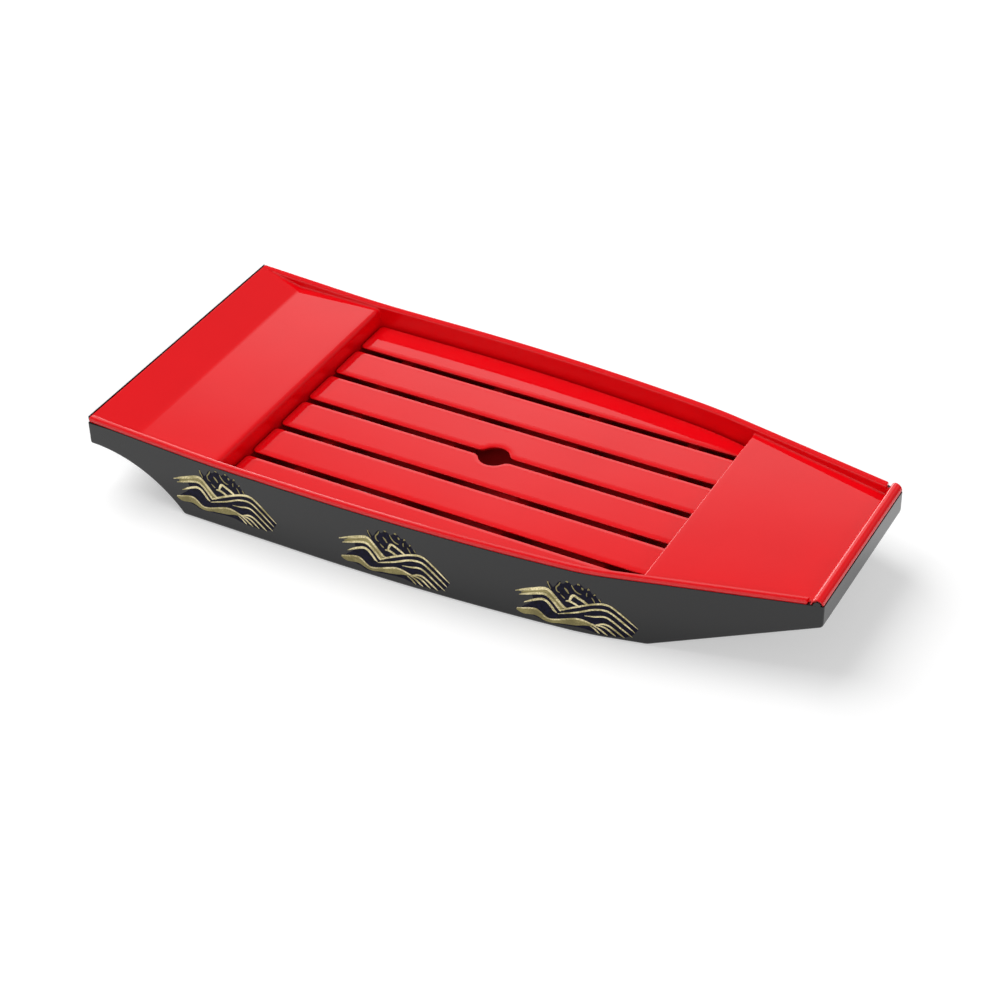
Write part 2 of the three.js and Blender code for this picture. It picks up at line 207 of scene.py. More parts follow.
SHEER_MID = LIP_CENTRE_Z - LIP_LEG + RIM_HEIGHT - rise(LIP_LEG_X)
STERN_TOP = SHEER_MID + rise(STERN_X)
STERN_DECK_Z = SHEER_MID - STERN_DECK_DROP
BOW_DECK_Z = SHEER_MID - BOW_DECK_DROP


def sheer(x):
    """Height of the top of the rim."""
    return SHEER_MID + rise(x)


# Small tools for outlines and meshes

def arc(centre_x, centre_y, radius, start, end, steps=ROUND_STEPS):
    """Points of a circular arc between two angles in degrees, both ends included."""
    angles = [math.radians(start + (end - start) * i / steps) for i in range(steps + 1)]
    return [(centre_x + radius * math.cos(a), centre_y + radius * math.sin(a)) for a in angles]


def rounded_corner(before, corner, after, radius, steps=ROUND_STEPS):
    """The tangent arc that rounds a corner of an outline."""
    corner = Vector(corner)
    back = (Vector(before) - corner).normalized()
    ahead = (Vector(after) - corner).normalized()
    half = back.angle(ahead) / 2
    centre = corner + (back + ahead).normalized() * (radius / math.sin(half))
    start = corner + back * (radius / math.tan(half)) - centre
    end = corner + ahead * (radius / math.tan(half)) - centre
    first = math.atan2(start.y, start.x)
    turn = math.atan2(start.x * end.y - start.y * end.x, start.dot(end))
    return arc(centre.x, centre.y, radius, math.degrees(first), math.degrees(first + turn), steps)


def inset(outline, distance):
    """A closed anticlockwise outline moved inwards by a distance."""
    moved = []
    for i, point in enumerate(outline):
        point = Vector(point)
        ahead = (Vector(outline[(i + 1) % len(outline)]) - point).normalized()
        back = (point - Vector(outline[i - 1])).normalized()
        normal = Vector((-ahead.y - back.y, ahead.x + back.x)).normalized()
        square = Vector((-ahead.y, ahead.x))
        moved.append(tuple(point + normal * (distance / normal.dot(square))))
    return moved


def filled_in(values, step=STATION_STEP):
    """The same rising values with more put between those that are further apart than a step."""
    full = [values[0]]
    for value in values[1:]:
        count = max(1, math.ceil((value - full[-1]) / step))
        start = full[-1]
        full += [start + (value - start) * (i + 1) / count for i in range(count)]
    return full


def skin(rows, ring=False, caps=False):
    """Points and faces over a row of like sections. Caps close the first and the last section."""
    count = len(rows[0])
    points = [point for row in rows for point in row]
    faces = []
    for r in range(len(rows) - 1):
        for p in range(count if ring else count - 1):
            a = r * count + p
            b = r * count + (p + 1) % count
            faces.append((a, a + count, b + count, b))
    if caps:
        last = len(points) - count
        faces.append(tuple(range(count)))
        faces.append(tuple(last + p for p in reversed(range(count))))
    return points, faces


def hollow(outer_rows, inner_rows):
    """A shell of two like skins with closed ends, joined along their open edges."""
    points, faces = joined(skin(outer_rows, caps=True), skin(inner_rows, caps=True))
    count = len(outer_rows[0])
    inner = len(outer_rows) * count
    port = [r * count for r in range(len(outer_rows))]
    starboard = [r * count + count - 1 for r in reversed(range(len(outer_rows)))]
    loop = port + starboard
    for a, b in zip(loop, loop[1:] + loop[:1]):
        faces.append((a, b, b + inner, a + inner))
    return points, faces


def joined(*parts):
    """Several sets of points and faces as one."""
    points, faces = [], []
    for part_points, part_faces in parts:
        faces += [tuple(len(points) + i for i in face) for face in part_faces]
        points += part_points
    return points, faces


def make_piece(name, shape, material, body, nodes=(), shell=0.0, closed=True):
    """Makes a piece from points in millimetres, shades it and hangs it in the frame."""
    points, faces = shape
    mesh = bpy.data.meshes.new(name)
    mesh.from_pydata([Vector(point) * MM for point in points], [], faces)
    work = bmesh.new()
    work.from_mesh(mesh)
    bmesh.ops.remove_doubles(work, verts=work.verts, dist=MERGE_DISTANCE * MM)
    bmesh.ops.dissolve_degenerate(work, edges=work.edges, dist=SLIVER_LENGTH * MM)
    if closed:
        bmesh.ops.recalc_face_normals(work, faces=work.faces)
    work.to_mesh(mesh)
    work.free()
    mesh.polygons.foreach_set("use_smooth", [True] * len(mesh.polygons))
    mesh.set_sharp_from_angle(angle=SHARP_ANGLE)
    mesh.materials.append(material)
    piece = bpy.data.objects.new(name, mesh)
    bpy.context.scene.collection.objects.link(piece)
    if shell:
        solid = piece.modifiers.new("shell", "SOLIDIFY")
        solid.thickness = shell * MM
        solid.offset = -1
        solid.use_even_offset = True
    weighted = piece.modifiers.new("flat faces lead", "WEIGHTED_NORMAL")
    weighted.keep_sharp = True
    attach(piece, body)
    if nodes:
        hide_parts(*nodes)
    return piece


# Materials. Sizes of their patterns are in millimetres.

# Height over which the satin and the painted shade below the grate fade in
SATIN_AND_SHADE_FADE = 0.4
COLOUR_CLOUD = 24
HAZE = 7
BLACK_PEEL = 1.6
BLACK_SINK = 40
RED_PEEL = 2.2
RED_SINK = 60
# Real flakes are finer: these are as coarse as they need to be to show
GOLD_FLAKE = 0.5
GOLD_PATCH = 6
NAVY_GRAIN = 1.2
INK_RELIEF = 0.01

# Share by which haze changes the roughness, and share of the thin gold that a wash keeps at its thinnest
HAZE_SWING = 0.3
WASH_SHARE = 0.6

# Values between which a noise, and two noises multiplied, mostly stay
NOISE_RANGE = (0.3, 0.7)
FLAKE_RANGE = (0.16, 0.34)


def add_node(tree, kind, inputs=None, **settings):
    """Adds a node, sets its properties and fills or links its inputs."""
    node = tree.nodes.new(kind)
    for name, value in settings.items():
        setattr(node, name, value)
    for key, value in (inputs or {}).items():
        socket = node.inputs[key]
        if isinstance(value, bpy.types.NodeSocket):
            tree.links.new(value, socket)
        else:
            socket.default_value = value
    return node


def per_metre(size_mm):
    """Noise scale that gives features of a size in millimetres."""
    return 1 / (size_mm * MM)


def new_material(name):
    """An empty node material and its tree."""
    material = bpy.data.materials.new(name)
    material.use_nodes = True
    material.node_tree.nodes.clear()
    return material, material.node_tree


def finish_material(tree, shader):
    """Links a shader to the material's output."""
    add_node(tree, "ShaderNodeOutputMaterial", {"Surface": shader.outputs["BSDF"]})


def shades(colour, spread):
    """A darker and a lighter neighbour of a colour."""
    low = tuple(c * (1 - spread) for c in colour[:3])
    high = tuple(min(1.0, c * (1 + spread)) for c in colour[:3])
    return (*low, 1.0), (*high, 1.0)


def lacquer(name, colour, finish, peel_mm, sink_mm, satin_and_shade_top_mm):
    """Sprayed gloss lacquer over moulded plastic.

    The eye gets rich even colour under a mirror coat: reflections are sharp but ripple a little
    with the coat's fine peel and with the wide, shallow sinks of the moulding below. Up to the satin's
    top the spray hardly reaches, and the moulded satin shows with a rougher surface; up to that top the
    colour is also darkened, which is painted shade in the well under the grate.
    """
    material, tree = new_material(name)
    place = add_node(tree, "ShaderNodeTexCoord").outputs["Object"]
    cloud = add_node(tree, "ShaderNodeTexNoise", {
        "Vector": place, "Scale": per_metre(COLOUR_CLOUD), "Detail": 2.0,
    })
    dark, light = shades(colour, finish.colour_spread)
    tint = add_node(tree, "ShaderNodeMix", {
        "Factor": cloud.outputs["Fac"], "A": dark, "B": light,
    }, data_type="RGBA")
    haze = add_node(tree, "ShaderNodeTexNoise", {"Vector": place, "Scale": per_metre(HAZE), "Detail": 4.0})
    rough = add_node(tree, "ShaderNodeMapRange", {
        "Value": haze.outputs["Fac"], "From Min": NOISE_RANGE[0], "From Max": NOISE_RANGE[1],
        "To Min": finish.roughness * (1 - HAZE_SWING), "To Max": finish.roughness * (1 + HAZE_SWING),
    })
    height = add_node(tree, "ShaderNodeSeparateXYZ", {"Vector": place}).outputs["Z"]
    # Mask of the rough unsprayed satin, which also carries the painted shade below the grate
    bare_and_shaded = add_node(tree, "ShaderNodeMapRange", {
        "Value": height, "From Min": (satin_and_shade_top_mm - SATIN_AND_SHADE_FADE) * MM, "From Max": satin_and_shade_top_mm * MM,
        "To Min": 1.0, "To Max": 0.0,
    }).outputs["Result"]
    # Darker colour below the grate: painted shade in the well, not a colour of the plastic
    painted_shade_colour = tuple(c * finish.below_grate_painted_shade for c in colour[:3])
    shade = add_node(tree, "ShaderNodeMix", {
        "Factor": bare_and_shaded, "A": tint.outputs["Result"], "B": (*painted_shade_colour, 1.0),
    }, data_type="RGBA")
    dull = add_node(tree, "ShaderNodeMix", {
        "Factor": bare_and_shaded, "A": rough.outputs["Result"], "B": finish.satin,
    })
    sink = add_node(tree, "ShaderNodeTexNoise", {"Vector": place, "Scale": per_metre(sink_mm), "Detail": 1.0})
    wide = add_node(tree, "ShaderNodeBump", {
        "Height": sink.outputs["Fac"], "Strength": 1.0, "Distance": finish.sink_depth,
    })
    peel = add_node(tree, "ShaderNodeTexNoise", {"Vector": place, "Scale": per_metre(peel_mm), "Detail": 2.0})
    fine = add_node(tree, "ShaderNodeBump", {
        "Height": peel.outputs["Fac"], "Strength": 1.0, "Distance": finish.peel_depth,
        "Normal": wide.outputs["Normal"],
    })
    shader = add_node(tree, "ShaderNodeBsdfPrincipled", {
        "Base Color": shade.outputs["Result"], "Roughness": dull.outputs["Result"],
        "Normal": fine.outputs["Normal"], "IOR": finish.ior,
    })
    finish_material(tree, shader)
    return material


def black_lacquer(settings):
    """Black lacquer, sprayed and baked on moulded plastic: near-black, with a bright clear coat."""
    finish = bpy.context.scene.sushi_boat.black_finish
    return lacquer("black_lacquer_sprayed", settings.black, finish, BLACK_PEEL, BLACK_SINK, satin_and_shade_top_mm=0.0)


def red_lacquer(settings):
    """Red lacquer, sprayed and baked on moulded plastic: warm red, smooth as a mirror on the flats."""
    finish = bpy.context.scene.sushi_boat.red_finish
    # The satin and the painted shade reach up to just above the slats' undersides
    satin_and_shade_top = SLAT_LOW.z + SATIN_AND_SHADE_FADE
    return lacquer("red_lacquer_sprayed", settings.red, finish, RED_PEEL, RED_SINK, satin_and_shade_top)


def gold_print(settings, name, full, thin_share):
    """Gold powder ink, pad-printed: metal flakes in a pale binder, thinner here and there."""
    material, tree = new_material(name)
    thin = tuple(c * thin_share for c in settings.gold_thin[:3])
    place = add_node(tree, "ShaderNodeTexCoord").outputs["Object"]
    flake = add_node(tree, "ShaderNodeTexNoise", {
        "Vector": place, "Scale": per_metre(GOLD_FLAKE), "Detail": 3.0,
    })
    patch = add_node(tree, "ShaderNodeTexNoise", {
        "Vector": place, "Scale": per_metre(GOLD_PATCH), "Detail": 2.0,
    })
    mixed = add_node(tree, "ShaderNodeMath", {
        0: flake.outputs["Fac"], 1: patch.outputs["Fac"],
    }, operation="MULTIPLY")
    spread = add_node(tree, "ShaderNodeMapRange", {
        "Value": mixed.outputs["Value"], "From Min": FLAKE_RANGE[0], "From Max": FLAKE_RANGE[1],
    })
    tint = add_node(tree, "ShaderNodeMix", {
        "Factor": spread.outputs["Result"], "A": (*thin, 1.0), "B": tuple(full),
    }, data_type="RGBA")
    bump = add_node(tree, "ShaderNodeBump", {
        "Height": flake.outputs["Fac"], "Strength": 0.5, "Distance": INK_RELIEF * MM,
    })
    shader = add_node(tree, "ShaderNodeBsdfPrincipled", {
        "Base Color": tint.outputs["Result"], "Metallic": 0.8, "Roughness": 0.35,
        "Normal": bump.outputs["Normal"],
    })
    finish_material(tree, shader)
    return material


def navy_print(settings):
    """Navy ink, pad-printed: a flat dark film with a dull sheen, uneven like a hand-cut stencil."""
    material, tree = new_material("navy_ink_printed")
    place = add_node(tree, "ShaderNodeTexCoord").outputs["Object"]
    grain = add_node(tree, "ShaderNodeTexNoise", {
        "Vector": place, "Scale": per_metre(NAVY_GRAIN), "Detail": 4.0,
    })
    spread = add_node(tree, "ShaderNodeMapRange", {
        "Value": grain.outputs["Fac"], "From Min": NOISE_RANGE[0], "From Max": NOISE_RANGE[1],
    })
    tint = add_node(tree, "ShaderNodeMix", {
        "Factor": spread.outputs["Result"], "A": settings.navy_deep, "B": settings.navy,
    }, data_type="RGBA")
    bump = add_node(tree, "ShaderNodeBump", {
        "Height": grain.outputs["Fac"], "Strength": 0.4, "Distance": INK_RELIEF * MM,
    })
    shader = add_node(tree, "ShaderNodeBsdfPrincipled", {
        "Base Color": tint.outputs["Result"], "Roughness": 0.5, "Specular IOR Level": 0.1,
        "Normal": bump.outputs["Normal"],
    })
    finish_material(tree, shader)
    return material


# Settings that a user would change

class LacquerColours(bpy.types.PropertyGroup):
    """Colours of the lacquers and inks."""
    black: FloatVectorProperty(
        name="Black lacquer", description="Colour of the outer hull",
        subtype="COLOR", size=4, min=0, max=1, default=linear("#0d0d0f"))
    red: FloatVectorProperty(
        name="Red lacquer", description="Colour of the tray and the grate",
        subtype="COLOR", size=4, min=0, max=1, default=linear("#ee0512"))
    gold: FloatVectorProperty(
        name="Gold ink", description="Gold of the wave lines where the ink is full",
        subtype="COLOR", size=4, min=0, max=1, default=linear("#f8eaba"))
    gold_thin: FloatVectorProperty(
        name="Thin gold ink", description="Gold of the wave lines where the ink is thin",
        subtype="COLOR", size=4, min=0, max=1, default=linear("#9d9262"))
    navy: FloatVectorProperty(
        name="Navy ink", description="Blue of the wave crests",
        subtype="COLOR", size=4, min=0, max=1, default=linear("#191832"))
    navy_deep: FloatVectorProperty(
        name="Deep navy ink", description="Blue of the wave crests where the ink is thick",
        subtype="COLOR", size=4, min=0, max=1, default=linear("#080711"))


class LacquerFinish(bpy.types.PropertyGroup):
    """Gloss of a lacquer."""
    roughness: FloatProperty(
        name="Roughness", description="Mean roughness of the coat",
        subtype="FACTOR", min=0, max=1, default=0.05)
    ior: FloatProperty(
        name="IOR", description="Index of refraction of the coat", min=1, max=2.5, default=1.5)
    satin: FloatProperty(
        name="Satin", description="Roughness of the moulded plastic where the spray hardly reaches",
        subtype="FACTOR", min=0, max=1, default=0.7)
    # Share of the colour kept below the grate: this darkening is painted shade in the well, not the colour of
    # bare plastic
    below_grate_painted_shade: FloatProperty(
        name="Satin shade", description="Share of the colour that the bare moulded plastic keeps",
        subtype="FACTOR", min=0, max=1, default=0.45)
    colour_spread: FloatProperty(
        name="Colour spread", description="How far the colour drifts from place to place",
        subtype="FACTOR", min=0, max=1, default=0.04)
    peel_depth: FloatProperty(
        name="Peel depth", description="Depth of the fine ripple left by spraying",
        unit="LENGTH", precision=6, default=0.0000006)
    sink_depth: FloatProperty(
        name="Sink depth", description="Depth of the wide shallow sinks of the moulding",
        unit="LENGTH", precision=6, default=0.00012)


class HullSizes(bpy.types.PropertyGroup):
    """Roundings of the black hull."""
    top_edge: FloatProperty(
        name="Top edge", description="Rounding of the edge under the rim",
        unit="LENGTH", precision=4, default=0.00035)
    bottom_edge: FloatProperty(
        name="Bottom edge", description="Rounding between the sides and the bottom",
        unit="LENGTH", precision=4, default=0.0012)
    stern_knee: FloatProperty(
        name="Stern knee", description="Rounding where the stern rake meets the floor",
        unit="LENGTH", precision=4, default=0.0015)
    bow_knee: FloatProperty(
        name="Bow knee", description="Rounding where the bow rake meets the floor",
        unit="LENGTH", precision=4, default=0.005)
    end_edge: FloatProperty(
        name="End edge", description="Rounding round the transom and the bow face",
        unit="LENGTH", precision=4, default=0.0008)
    rim_joint: FloatProperty(
        name="Rim joint", description="Open line between the hull and the tray's edges",
        unit="LENGTH", precision=5, default=0.00005)


class TraySizes(bpy.types.PropertyGroup):
    """Roundings of the red tray."""
    deck_fillet: FloatProperty(
        name="Deck fillet", description="Hollow between the decks and the side walls",
        unit="LENGTH", precision=4, default=0.0009)
    stern_edge: FloatProperty(
        name="Stern edge", description="Rounding of the stern edge of the slope",
        unit="LENGTH", precision=4, default=0.0007)
    crease: FloatProperty(
        name="Crease", description="Length over which the slope bends into the stern deck",
        unit="LENGTH", precision=4, default=0.0015)
    stern_roll: FloatProperty(
        name="Stern roll", description="Rounding of the stern deck's edge at the well",
        unit="LENGTH", precision=4, default=0.0022)
    step_edge: FloatProperty(
        name="Step edge", description="Rounding of the bow deck's edge at the well",
        unit="LENGTH", precision=4, default=0.0008)
    rim_end: FloatProperty(
        name="Rim end", description="Rounding of the rim's ends at the bow",
        unit="LENGTH", precision=4, default=0.0004)


class GrateSizes(bpy.types.PropertyGroup):
    """Edges of the drain grate."""
    top_edge: FloatProperty(
        name="Top edge", description="Rounding of the slats' upper edges",
        unit="LENGTH", precision=4, default=0.0006)
    ease_width: FloatProperty(
        name="Bevel width", description="Width of the bevel round a slat's top",
        unit="LENGTH", precision=4, default=0.0021)
    ease_depth: FloatProperty(
        name="Bevel depth", description="How far the bevel falls away to the slat's edge",
        unit="LENGTH", precision=5, default=0.00008)
    groove: FloatProperty(
        name="Groove", description="Half-width of the fine line between a slat's top and its bevel",
        unit="LENGTH", precision=5, default=0.00012)
    draft: FloatProperty(
        name="Draft", description="How far a slat's sides draw in towards its underside",
        unit="LENGTH", precision=4, default=0.0021)


class WaveSizes(bpy.types.PropertyGroup):
    """Places, ink and drawing of the printed waves."""
    places: FloatVectorProperty(
        name="Places", description="Where each wave starts along the hull",
        subtype="TRANSLATION", unit="LENGTH", size=3, precision=4, default=(-0.1162, -0.0374, 0.04))
    lifts: FloatVectorProperty(
        name="Lifts", description="How much higher each wave stands than the one nearest the bow",
        subtype="TRANSLATION", unit="LENGTH", size=3, precision=4, default=(0.0042, 0.0011, 0.0002))
    ink: FloatProperty(
        name="Ink", description="Thickness of a layer of ink",
        unit="LENGTH", precision=6, default=0.00002)
    seed: IntProperty(
        name="Seed", description="Sets the small irregularities of the drawing", default=4)


class StageSettings(bpy.types.PropertyGroup):
    """Light and floor."""
    floor_size: FloatProperty(
        name="Floor size", description="Side of the floor", unit="LENGTH", default=6.0)
    floor_colour: FloatVectorProperty(
        name="Floor colour", description="Colour of the floor",
        subtype="COLOR", size=4, min=0, max=1, default=linear("#dadada"))
    floor_glow: FloatProperty(
        name="Floor glow", description="Light that the floor adds near the boat", min=0, max=1, default=0.4)
    ambient: FloatProperty(
        name="Ambient light", description="Light from all round", min=0, max=2, default=0.23)
    key_power: FloatProperty(
        name="Key power", description="Power of the large softbox over the stern", unit="POWER", default=88.0)
    back_power: FloatProperty(
        name="Back power", description="Power of the low strip behind the boat", unit="POWER", default=5.0)
    front_power: FloatProperty(
        name="Front power", description="Power of the fill in front of the bow", unit="POWER", default=16.0)


class BoatSettings(bpy.types.PropertyGroup):
    """All settings of the sushi boat."""
    colours: PointerProperty(type=LacquerColours)
    black_finish: PointerProperty(type=LacquerFinish)
    red_finish: PointerProperty(type=LacquerFinish)
    hull: PointerProperty(type=HullSizes)
    tray: PointerProperty(type=TraySizes)
    grate: PointerProperty(type=GrateSizes)
    waves: PointerProperty(type=WaveSizes)
    stage: PointerProperty(type=StageSettings)


# Black outer hull. Its face stands back by the print's depth, so that the ink stays within the CAD's face.

PRINT_DEPTH = 0.06


def hull_bottom_line(sizes):
    """Side view of the bottom, as points in order from the transom to the bow face."""
    stern_z = STERN_TOP - STERN_EDGE_HEIGHT
    rake = FLOOR_STERN_X - STERN_X
    radius = (rake ** 2 + stern_z ** 2) / (2 * stern_z)
    end = math.degrees(math.asin((radius - stern_z) / radius))
    stern_rake = arc(STERN_X, stern_z - radius, radius, 90, end, RAKE_STEPS)
    floor_stern = stern_rake[-1]
    floor_bow = (FLOOR_BOW_X, 0.0)
    bow_corner = (BOW_X, HEIGHT - BOW_EDGE_HEIGHT)
    above_stern = (STERN_X, STERN_TOP)
    above_bow = (BOW_X, HEIGHT)
    end_edge = sizes.end_edge / MM
    return [
        *rounded_corner(above_stern, stern_rake[0], stern_rake[1], end_edge),
        *stern_rake[2:-1],
        *rounded_corner(stern_rake[-2], floor_stern, floor_bow, sizes.stern_knee / MM),
        *rounded_corner(floor_stern, floor_bow, bow_corner, sizes.bow_knee / MM),
        *rounded_corner(floor_bow, bow_corner, above_bow, BOW_CORNER_RADIUS),
    ]


def along_line(line, x):
    """Height of a line of rising points at a place along it."""
    for (x0, z0), (x1, z1) in zip(line, line[1:]):
        if x0 <= x <= x1:
            return z0 if x1 == x0 else z0 + (z1 - z0) * (x - x0) / (x1 - x0)
    return line[-1][1]


def end_inset(x, radius):
    """How far the plan draws in near the transom and the bow face."""
    near = min(x - STERN_X, BOW_X - x)
    if near >= radius:
        return 0.0
    return radius - math.sqrt(max(0.0, radius ** 2 - (radius - near) ** 2))


def hull_section(x, half, bottom, top, top_round, low_round):
    """A face of the hull at a place along it, from the port top edge round to the starboard one."""
    port = [
        *arc(half - top_round, top - top_round, top_round, 90, 0, EDGE_STEPS),
        *arc(half - low_round, bottom + low_round, low_round, 0, -90),
    ]
    starboard = [(-y, z) for y, z in reversed(port)]
    return [(x, y, z) for y, z in port + starboard]


def hull_top(x, joint):
    """Height of the hull's top edge, under the rim and under the lip."""
    return min(sheer(x) - RIM_HEIGHT, LIP_CENTRE_Z - LIP_LEG) - joint


def hull_shape(sizes):
    """The hull as an open shell: outer and inner faces with their ends, joined along the top edge."""
    line = hull_bottom_line(sizes)
    top_round, low_round = sizes.top_edge / MM, sizes.bottom_edge / MM
    end_edge, joint = sizes.end_edge / MM, sizes.rim_joint / MM
    outer, inner = [], []
    for x in filled_in([x for x, z in line]):
        bottom = along_line(line, x)
        half = half_beam(x) - PRINT_DEPTH - end_inset(x, end_edge)
        outer.append(hull_section(x, half, bottom, hull_top(x, joint), top_round, low_round))
        within = min(max(x, STERN_X + HULL_WALL), BOW_X - HULL_WALL)
        floor = along_line(line, within) + HULL_WALL
        half = half_beam(within) - HULL_WALL
        top = hull_top(within, joint)
        inner.append(hull_section(within, half, floor, top, HULL_INNER_EDGE, low_round))
    return hollow(outer, inner)


def transom_edge_shape(sizes):
    """Top edge of the transom, which stands level with the stern edge of the tray."""
    edge = TRANSOM_EDGE - sizes.rim_joint / MM
    low = STERN_TOP - RIM_HEIGHT - RIM_LEDGE
    outline = [
        (STERN_X + edge, low),
        (STERN_X + edge, STERN_TOP),
        *arc(STERN_X + edge / 2, STERN_TOP - edge / 2, edge / 2, 90, 180, EDGE_STEPS),
        (STERN_X, low),
    ]
    half = BEAM / 2 - RIM_LEDGE - sizes.end_edge / MM
    return skin([[(x, y, z) for x, z in outline] for y in (-half, half)], ring=True, caps=True)


def bow_core_shape():
    """Round top of the bow wall, which the lip hooks over."""
    foot = BOW_DECK_Z
    core = arc(LIP_CENTRE_X, LIP_CENTRE_Z, BOW_CORE / 2, 0, 180, 2 * ROUND_STEPS)
    outline = [(BOW_CORE_X, foot), *core, (BOW_WALL_X, foot)]
    rows = []
    for side in (-1, 1):
        rows.append([(x, side * (half_beam(x) - 2 * PRINT_DEPTH), z) for x, z in outline])
    return skin(rows, ring=True, caps=True)


class SUSHIBOAT_OT_hull(bpy.types.Operator):
    """Makes the black outer hull, its transom's edge and the round top of its bow wall"""
    bl_idname = "sushi_boat.make_hull"
    bl_label = "Make hull"

    def execute(self, context):
        settings = context.scene.sushi_boat
        coat = black_lacquer(settings.colours)
        pieces = (
            ("outer_hull_shell", hull_shape(settings.hull)),
            ("transom_top_edge", transom_edge_shape(settings.hull)),
            ("bow_wall_top", bow_core_shape()),
        )
        for name, shape in pieces:
            make_piece(name, shape, coat, "hull", ["outer_hull"])
        return {"FINISHED"}


# Red inner tray

def slope_z(x, blend):
    """Height of the stern slope and the stern deck, with the crease between them eased."""
    fall = (STERN_TOP - STERN_DECK_Z) / STERN_SLOPE_LENGTH
    sharp = STERN_DECK_Z + max(0.0, CREASE_X - x) * fall
    reach = max(0.0, blend - abs(x - CREASE_X))
    return sharp + fall * reach ** 2 / (4 * blend)


def tray_section(x, deck, top, outer, rounding, fillet):
    """Top face of the tray at a place along it, from the starboard rim over the deck to the port rim.

    Distances are measured inwards from the hull's outer face.
    """
    inner_centre = RIM_WIDTH - rounding
    round_z = top - rounding
    foot = min(sheer(x) - RIM_HEIGHT, round_z)
    tilt = RIM_TILT * min(1.0, max(0.0, top - deck) / RIM_TILT_DROP)
    lean = math.radians(tilt)
    flat = max(0.0, inner_centre - outer - rounding)
    sink = math.tan(lean) * (flat + rounding * math.sin(lean)) - rounding * (1 - math.cos(lean))
    inner_z = round_z - sink
    fillet_z = deck + fillet
    if fillet_z <= inner_z:
        fillet_d = RIM_WIDTH + fillet
        meet = 0.0
    else:
        lift = min(fillet_z - inner_z, rounding + fillet)
        fillet_d = inner_centre + math.sqrt((rounding + fillet) ** 2 - lift ** 2)
        meet = math.degrees(math.atan2(lift, fillet_d - inner_centre))
        fillet_z = inner_z + lift
    half_rim = [
        (outer, foot),
        *arc(outer + rounding, round_z, rounding, 180, 90),
        *arc(inner_centre, inner_z, rounding, max(90 - tilt, meet), meet),
        *arc(fillet_d, fillet_z, fillet, 180 + meet, 270, EDGE_STEPS),
    ]
    half = half_beam(x)
    starboard = [(x, d - half, z) for d, z in half_rim]
    port = [(x, -y, z) for x, y, z in reversed(starboard)]
    return starboard + port


def tray_rows(sizes):
    """Sections of the tray from its stern edge to the lip."""
    fillet = sizes.deck_fillet / MM
    stern_edge = sizes.stern_edge / MM
    crease = sizes.crease / MM
    roll = sizes.stern_roll / MM
    step_edge = sizes.step_edge / MM
    rim_end = sizes.rim_end / MM
    rows = []

    def add(x, deck, drop=0.0, draw_in=0.0):
        """Adds a section whose rim is lowered and drawn in where it ends."""
        top = sheer(x) - drop
        rows.append(tray_section(x, deck, top, RIM_LEDGE + draw_in, RIM_ROUND, fillet))

    stern_end = STERN_X + TRANSOM_EDGE
    for turn in QUARTER_TURNS:
        x = stern_end + stern_edge * (1 - math.cos(turn))
        drop = stern_edge * (1 - math.sin(turn))
        add(x, slope_z(x, crease) - drop, drop, drop)
    under = STERN_TOP - RIM_HEIGHT
    rows.insert(0, [(x, y, under) for x, y, z in rows[0]])

    bend = [CREASE_X + crease * (i / ROUND_STEPS * 2 - 1) for i in range(ROUND_STEPS + 1)]
    stern_flat = [stern_end + stern_edge, *bend, STERN_STEP_X - roll]
    for x in filled_in(stern_flat)[1:]:
        add(x, slope_z(x, crease))
    for turn in QUARTER_TURNS[1:]:
        add(STERN_STEP_X - roll * (1 - math.sin(turn)), STERN_DECK_Z - roll * (1 - math.cos(turn)))
    for x in filled_in([STERN_STEP_X + STEP_FACE, BOW_STEP_X - STEP_FACE]):
        add(x, WELL_FLOOR_Z)
    for turn in QUARTER_TURNS:
        add(BOW_STEP_X + step_edge * (1 - math.cos(turn)), BOW_DECK_Z - step_edge * (1 - math.sin(turn)))
    for x in filled_in([BOW_STEP_X + step_edge, RIM_END_X - rim_end])[1:]:
        add(x, BOW_DECK_Z)
    for turn in QUARTER_TURNS[1:]:
        drop = rim_end * (1 - math.cos(turn))
        add(RIM_END_X - rim_end * (1 - math.sin(turn)), BOW_DECK_Z, drop, drop)
    wall_top = RIM_HEIGHT - TRAY_SHELL / 2
    for x in (RIM_END_X + STEP_FACE, LIP_INNER_X + LIP_SKIN / 2):
        inside = HULL_WALL + CLEARANCE
        rows.append(tray_section(x, BOW_DECK_Z, sheer(x) - wall_top, inside, TRAY_SHELL / 2, fillet))
    return rows


